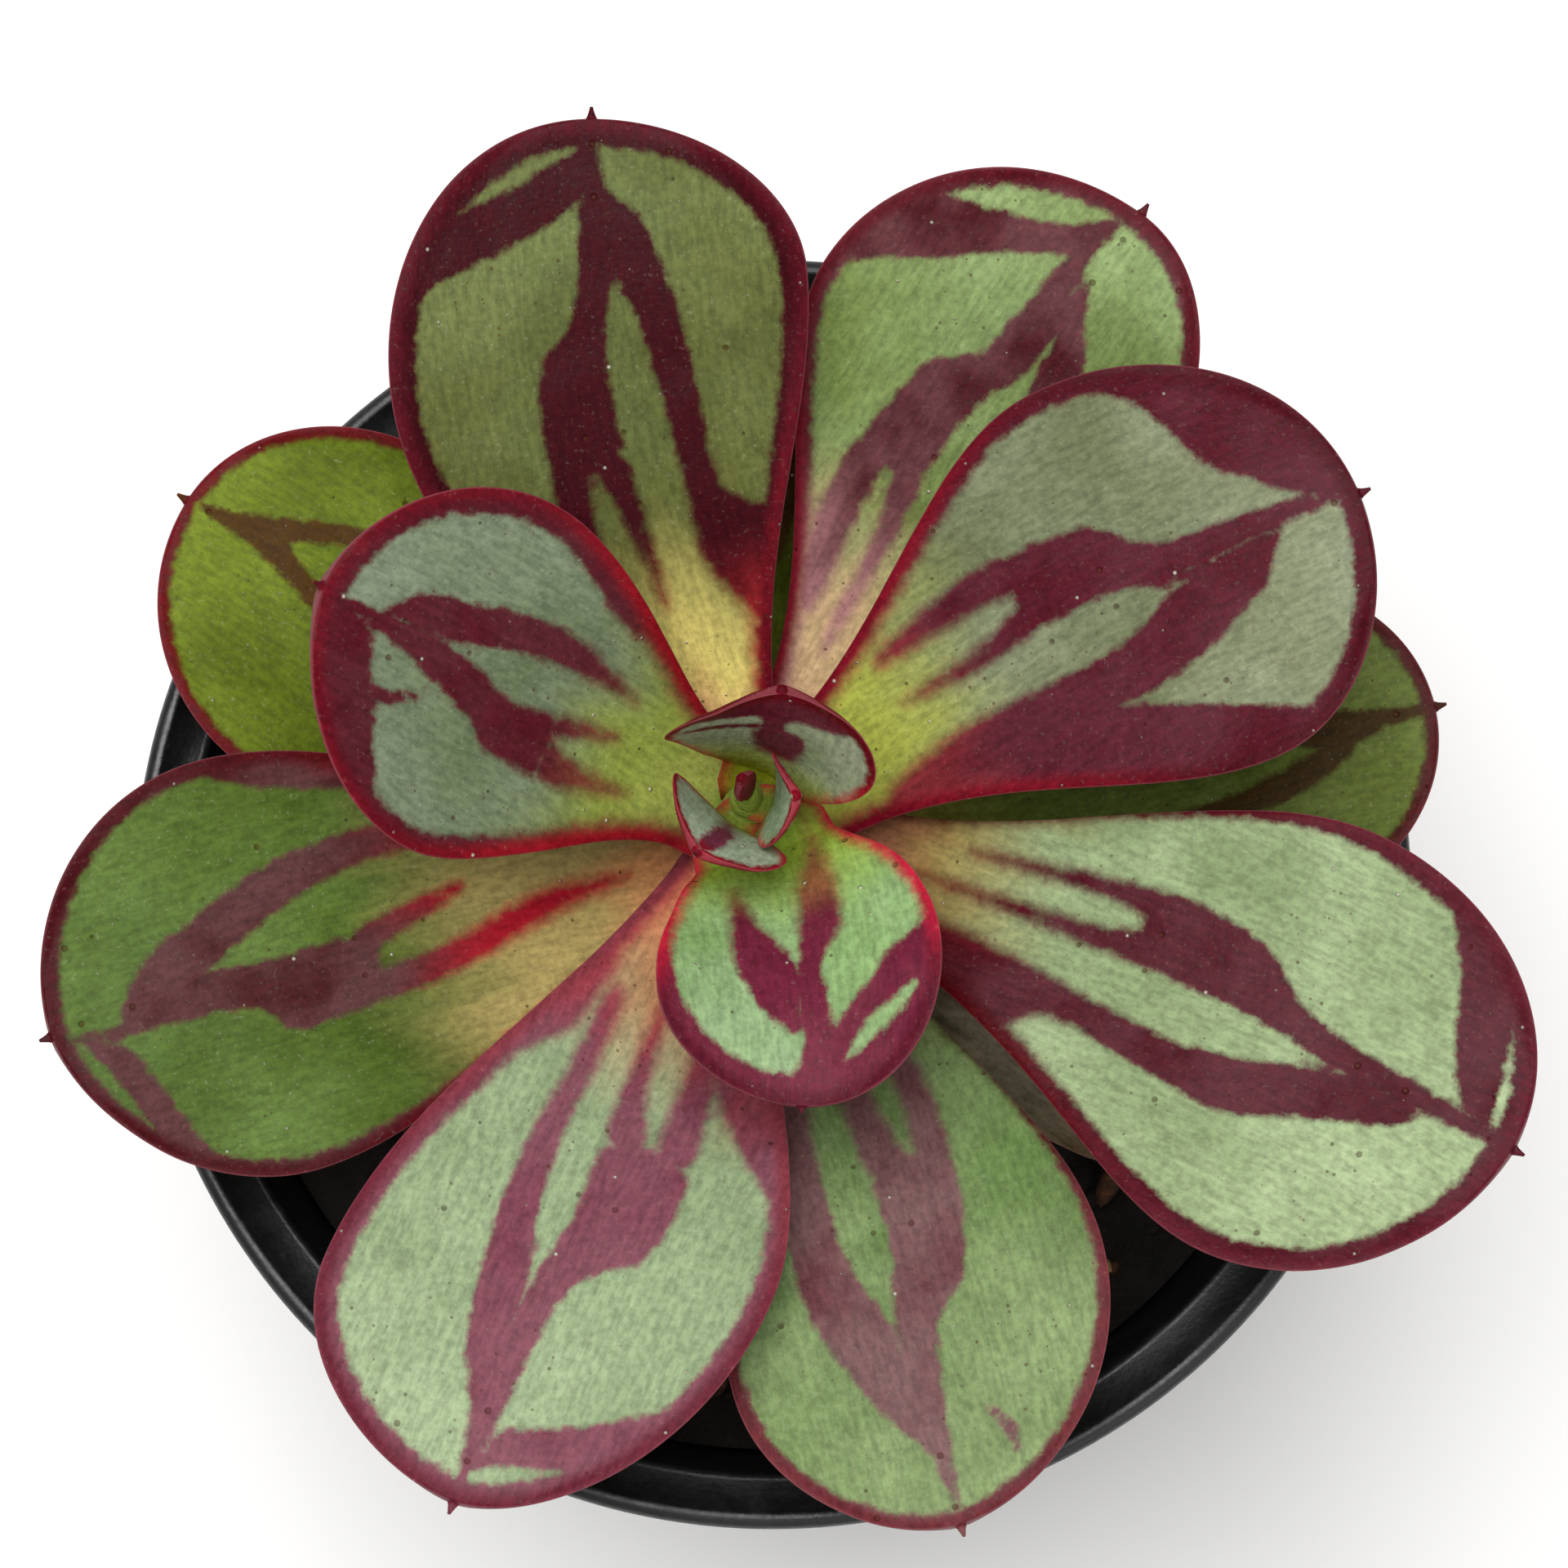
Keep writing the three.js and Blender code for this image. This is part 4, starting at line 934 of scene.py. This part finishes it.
def pot_profile():
    """Half section of the pot: underside, wall, hanging skirt, round rim with its ridge, ledge and inside."""
    inside = BASE_RADIUS - FOOT_RING
    ledge_under = MOUTH_LEVEL - POT_WALL
    skirt_inside = RIM_RADIUS - POT_WALL
    skirt_end = POT_HEIGHT - RIM_SKIRT
    edge = PROFILE_EDGE
    profile = [(POT_MIDDLE, 0), (HUB_RADIUS - edge, 0), (HUB_RADIUS, edge)]
    profile += [(HUB_RADIUS + POT_WALL, FOOT_RISE), (inside - POT_WALL, FOOT_RISE)]
    profile += [(inside, edge), (inside + edge, 0), (BASE_RADIUS - edge, 0), (BASE_RADIUS, edge)]
    profile += wall_points(FLOOR_TOP, ledge_under, POT_WALL)
    profile += [(skirt_inside - edge, ledge_under), (skirt_inside, ledge_under - edge)]
    profile += [(skirt_inside, skirt_end + edge), (skirt_inside + edge, skirt_end)]
    profile += [(RIM_RADIUS - edge, skirt_end), (RIM_RADIUS, skirt_end + edge)]
    profile += [(RIM_RADIUS, mix(skirt_end, POT_HEIGHT - RIM_ROUND, t)) for t in (0.3, 0.6, 0.9)]
    profile += arc(RIM_RADIUS - RIM_ROUND, POT_HEIGHT - RIM_ROUND, RIM_ROUND, 0, 118, 9)
    profile += [(RIM_RADIUS - 1.6, POT_HEIGHT - 0.75), (RIM_RADIUS - 2.4, POT_HEIGHT - 0.95)]
    profile += arc(MOUTH_RADIUS + 0.55, MOUTH_LEVEL - 0.35, 0.55, 80, 180, 7)
    profile += wall_points(MOUTH_LEVEL - 0.5, FLOOR_TOP, 0)
    profile += [(HUB_RADIUS, FLOOR_TOP), (HUB_RADIUS - POT_WALL, POT_WALL), (POT_MIDDLE, POT_WALL)]
    return np.array(profile)


def lathe(profile, segments):
    """Rings of points that follow the profile round the pot's axis."""
    turn = turns(segments)
    radius, level = profile[:, 0:1], profile[:, 1:2]
    return np.stack([radius * np.cos(turn), radius * np.sin(turn), level + 0 * turn], -1).reshape(-1, 3)


def cut_drain_holes(piece):
    """Cuts the ring of drainage holes through the raised floor."""
    for index in range(DRAIN_HOLES):
        turn = 2 * math.pi * index / DRAIN_HOLES
        at = (DRAIN_CIRCLE * math.cos(turn) * MM, DRAIN_CIRCLE * math.sin(turn) * MM, FLOOR_TOP * MM)
        bpy.ops.mesh.primitive_cylinder_add(
            vertices=DRAIN_SIDES, radius=DRAIN_RADIUS * MM, depth=2 * FLOOR_TOP * MM, location=at)
        cutter = bpy.context.object
        cut = piece.modifiers.new("drain", "BOOLEAN")
        cut.object = cutter
        cut.solver = "EXACT"
        bpy.context.view_layer.objects.active = piece
        bpy.ops.object.modifier_apply(modifier=cut.name)
        bpy.data.objects.remove(cutter)


def make_pot():
    """The pot: its profile turned round the axis, with the drainage holes cut."""
    profile = pot_profile()
    points = lathe(profile, POT_SEGMENTS)
    faces = capped(ring_faces(len(profile), POT_SEGMENTS), len(profile), POT_SEGMENTS)
    piece = make_piece("nursery_pot", points, faces, plastic_material(), ["pot"])
    cut_drain_holes(piece)
    piece.data.set_sharp_from_angle(angle=math.radians(50))


# ---- soil, crumbs and stem -------------------------------------------------------------------------

def soil_height(radius):
    """The soil's heaped surface, without its lumps."""
    return SOIL_LEVEL + SOIL_HEAP * (1 - (radius / inner_wall(SOIL_LEVEL)) ** 2)


def make_soil():
    """The potting mix: an uneven crumbly top on a closed block."""
    rings, sides = SOIL_RINGS, SOIL_SIDES
    edge = inner_wall(SOIL_LEVEL) - FIT_GAP
    radius = np.linspace(SOIL_MIDDLE, edge, rings)[:, None]
    turn = turns(sides)[None, :]
    x, y = radius * np.cos(turn), radius * np.sin(turn)
    spots = np.stack([x.ravel(), y.ravel()], -1)
    lumps = ripple(spots, 7.0, 3) * 0.45 + ripple(spots, 2.4, 4) * 0.32 + ripple(spots, 1.0, 5) * 0.16
    z = soil_height(radius) + lumps.reshape(rings, sides) * smooth(edge, edge - 2.5, radius) - 0.3
    top = np.stack([x, y, z], -1)
    levels = np.linspace(SOIL_LEVEL - 2, FLOOR_TOP + FIT_GAP, WALL_STEPS)
    block = [(inner_wall(level) - FIT_GAP, level) for level in levels]
    block += [(HUB_RADIUS - FIT_GAP, FLOOR_TOP + FIT_GAP),
              (HUB_RADIUS - POT_WALL - FIT_GAP, POT_WALL + FIT_GAP),
              (SOIL_MIDDLE, POT_WALL + FIT_GAP)]
    points = np.concatenate([top.reshape(-1, 3), lathe(np.array(block), sides)])
    count = rings + len(block)
    faces = [face[::-1] for face in capped(ring_faces(count, sides), count, sides)]
    # The soil is near-black: the dark peat's own colour, made darker still as painted shade for the shadowed
    # inside of the pot.
    material = crumb_material("potting_mix", "#070504", "#1e130c", 1.2)
    make_piece("potting_soil", points, faces, material, ["potting_mix"])


def lump(rng, radius, stretch, roughness):
    """One irregular crumb about its own middle: an icosphere pushed about, as points and triangles."""
    points, faces = LUMP
    radial = 1 + roughness * ripple(points, 1.6, int(rng.integers(1 << 20)), 5)
    shaped = points * radial[:, None] * np.array(stretch) * radius
    spin = random_turn(rng)
    return shaped @ spin.T, faces


def random_turn(rng):
    """A random rotation matrix."""
    matrix, upper = np.linalg.qr(rng.normal(size=(3, 3)))
    matrix *= np.sign(np.diag(upper))
    return matrix if np.linalg.det(matrix) > 0 else -matrix


def unit_lump():
    """An icosphere of radius 1 as plain arrays."""
    mesh = bpy.data.meshes.new("lump")
    shape = bmesh.new()
    bmesh.ops.create_icosphere(shape, subdivisions=2, radius=1)
    shape.to_mesh(mesh)
    shape.free()
    points = np.array([v.co[:] for v in mesh.vertices])
    faces = [list(p.vertices) for p in mesh.polygons]
    bpy.data.meshes.remove(mesh)
    return points, faces


def joined(lumps):
    """Several lumps as one set of points and faces."""
    points, faces, count = [], [], 0
    for part, part_faces in lumps:
        points.append(part)
        faces += [[index + count for index in face] for face in part_faces]
        count += len(part)
    return np.concatenate(points), faces


def node_middle(node):
    """The middle of a CAD node's box, in millimetres."""
    low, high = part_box(node)
    return np.array((low + high) / 2) / MM


def scattered(rng, count, inner, outer):
    """Places on the soil between two distances from the axis, evenly spread."""
    radius = np.sqrt(rng.uniform(inner ** 2, outer ** 2, count))
    turn = rng.uniform(0, 2 * math.pi, count)
    return [(r * math.cos(t), r * math.sin(t), soil_height(r)) for r, t in zip(radius, turn)]


def make_crumbs(name, nodes, material, seed, count, sizes, flatness, main_radius):
    """The model's own crumbs of one kind where they lie, and more small ones of the same kind on the soil."""
    rng = np.random.default_rng(SEED + seed)
    lumps = []
    for node in nodes:
        points, faces = lump(rng, main_radius, (1.0, 0.8, flatness), 0.2)
        lumps.append((points + node_middle(node), faces))
    for place in scattered(rng, count, 5.0, inner_wall(SOIL_LEVEL) - 3.0):
        size = rng.uniform(*sizes)
        points, faces = lump(rng, size, (1.0, rng.uniform(0.5, 0.9), rng.uniform(flatness, 0.9)), 0.26)
        lumps.append((points + np.array(place) + [0, 0, size * 0.25], faces))
    points, faces = joined(lumps)
    make_piece(name, points, faces, material, nodes)


def make_stem():
    """The short woody stem, with the rough rings that fallen leaves left."""
    rings, sides = STEM_RINGS, STEM_SIDES
    levels = np.linspace(SOIL_LEVEL - STEM_BURIED, STEM_TOP, rings)
    turn = turns(sides)
    points = []
    for z in levels:
        radius = stem_radius(z) - SCAR_HEIGHT
        scars = SCAR_HEIGHT * math.sin(z * 2.4) * smooth(CROWN_LEVEL - 1, CROWN_LEVEL - 6, z)
        points.append(stem_axis(z) + np.stack([np.cos(turn), np.sin(turn), 0 * turn], -1) * (radius + scars))
    points = np.concatenate(points)
    rough = ripple(points, 1.6, 11) * 0.07
    outward = points - np.repeat(np.stack([stem_axis(z) for z in levels]), sides, 0)
    points = points + outward / np.linalg.norm(outward, axis=1)[:, None] * rough[:, None]
    faces = capped(ring_faces(rings, sides), rings, sides)
    make_piece("stem_bark", points, faces, bark_material(), ["stem"])


# ---- floor, light and camera -----------------------------------------------------------------------

def make_floor():
    """A pale floor that the pot stands on."""
    half = FLOOR_HALF
    corners = [(-half, -half, 0), (half, -half, 0), (half, half, 0), (-half, half, 0)]
    mesh = bpy.data.meshes.new("floor")
    mesh.from_pydata(corners, [], [[0, 1, 2, 3]])
    mesh.materials.append(floor_material())
    floor = bpy.data.objects.new("floor", mesh)
    bpy.context.scene.collection.objects.link(floor)


def area_light(name, place, size, power):
    """A square soft light that faces the plant."""
    data = bpy.data.lights.new(name, "AREA")
    data.size = size
    data.energy = power
    light = bpy.data.objects.new(name, data)
    light.location = place
    light.rotation_euler = (Vector(LIGHT_TARGET) - Vector(place)).to_track_quat("-Z", "Y").to_euler()
    bpy.context.scene.collection.objects.link(light)


def make_lights():
    """Soft light from above, a weak fill from the south and a pale world."""
    area_light("overhead", (-0.14, 0.16, 1.15), size=0.7, power=13.0)
    area_light("fill_south", (0.5, -0.9, 0.8), size=0.9, power=3.0)
    world = bpy.data.worlds.new("studio")
    world.use_nodes = True
    background = world.node_tree.nodes["Background"]
    background.inputs["Color"].default_value = (1, 1, 1, 1)
    background.inputs["Strength"].default_value = WORLD_STRENGTH
    bpy.context.scene.world = world
    bpy.context.scene.view_settings.view_transform = "Standard"


def make_camera():
    """Nearly straight down on the rosette, tilted a little from the south."""
    tilt = math.radians(CAMERA_TILT)
    target = Vector(CAMERA_TARGET_MM) * MM
    back = Vector((0, -math.sin(tilt), math.cos(tilt)))
    up = Vector((0, math.cos(tilt), math.sin(tilt)))
    right = Vector((1, 0, 0))
    data = bpy.data.cameras.new("camera")
    data.sensor_width = CAMERA_SENSOR
    data.lens = CAMERA_LENS
    data.clip_start = 0.01
    camera = bpy.data.objects.new("camera", data)
    turn = Matrix((right, up, back)).transposed().to_4x4()
    camera.matrix_world = Matrix.Translation(target + back * CAMERA_DISTANCE_MM * MM) @ turn
    bpy.context.scene.collection.objects.link(camera)
    bpy.context.scene.camera = camera


# ---- everything ------------------------------------------------------------------------------------

LUMP = unit_lump()

for leaf_name in LEAVES:
    make_leaf(leaf_name)
make_pot()
make_soil()
make_stem()
perlite_nodes = [f"perlite_crumb_{i}" for i in range(1, 7)]
bark_nodes = [f"bark_chip_{i}" for i in range(1, 6)]
make_crumbs("perlite_crumbs", perlite_nodes, crumb_material("perlite", "#b4a88e", "#e6dcc8", 0.6),
            seed=31, count=40, sizes=(0.3, 0.8), flatness=0.7, main_radius=1.35)
make_crumbs("bark_crumbs", bark_nodes, crumb_material("bark", "#2c170c", "#6e4426", 0.8),
            seed=32, count=260, sizes=(0.35, 1.3), flatness=0.35, main_radius=2.1)
make_crumbs("straw_crumbs", [], crumb_material("straw", "#7a5530", "#d6ab72", 0.6),
            seed=34, count=60, sizes=(0.3, 0.9), flatness=0.4, main_radius=1.0)
# The peat grit is near-black like the soil: its own dark colour, made darker still as painted shade in the
# pot.
make_crumbs("peat_grit", [], crumb_material("peat", "#0a0705", "#281a11", 0.5),
            seed=33, count=900, sizes=(0.25, 0.8), flatness=0.6, main_radius=0.5)
make_floor()
make_lights()
make_camera()
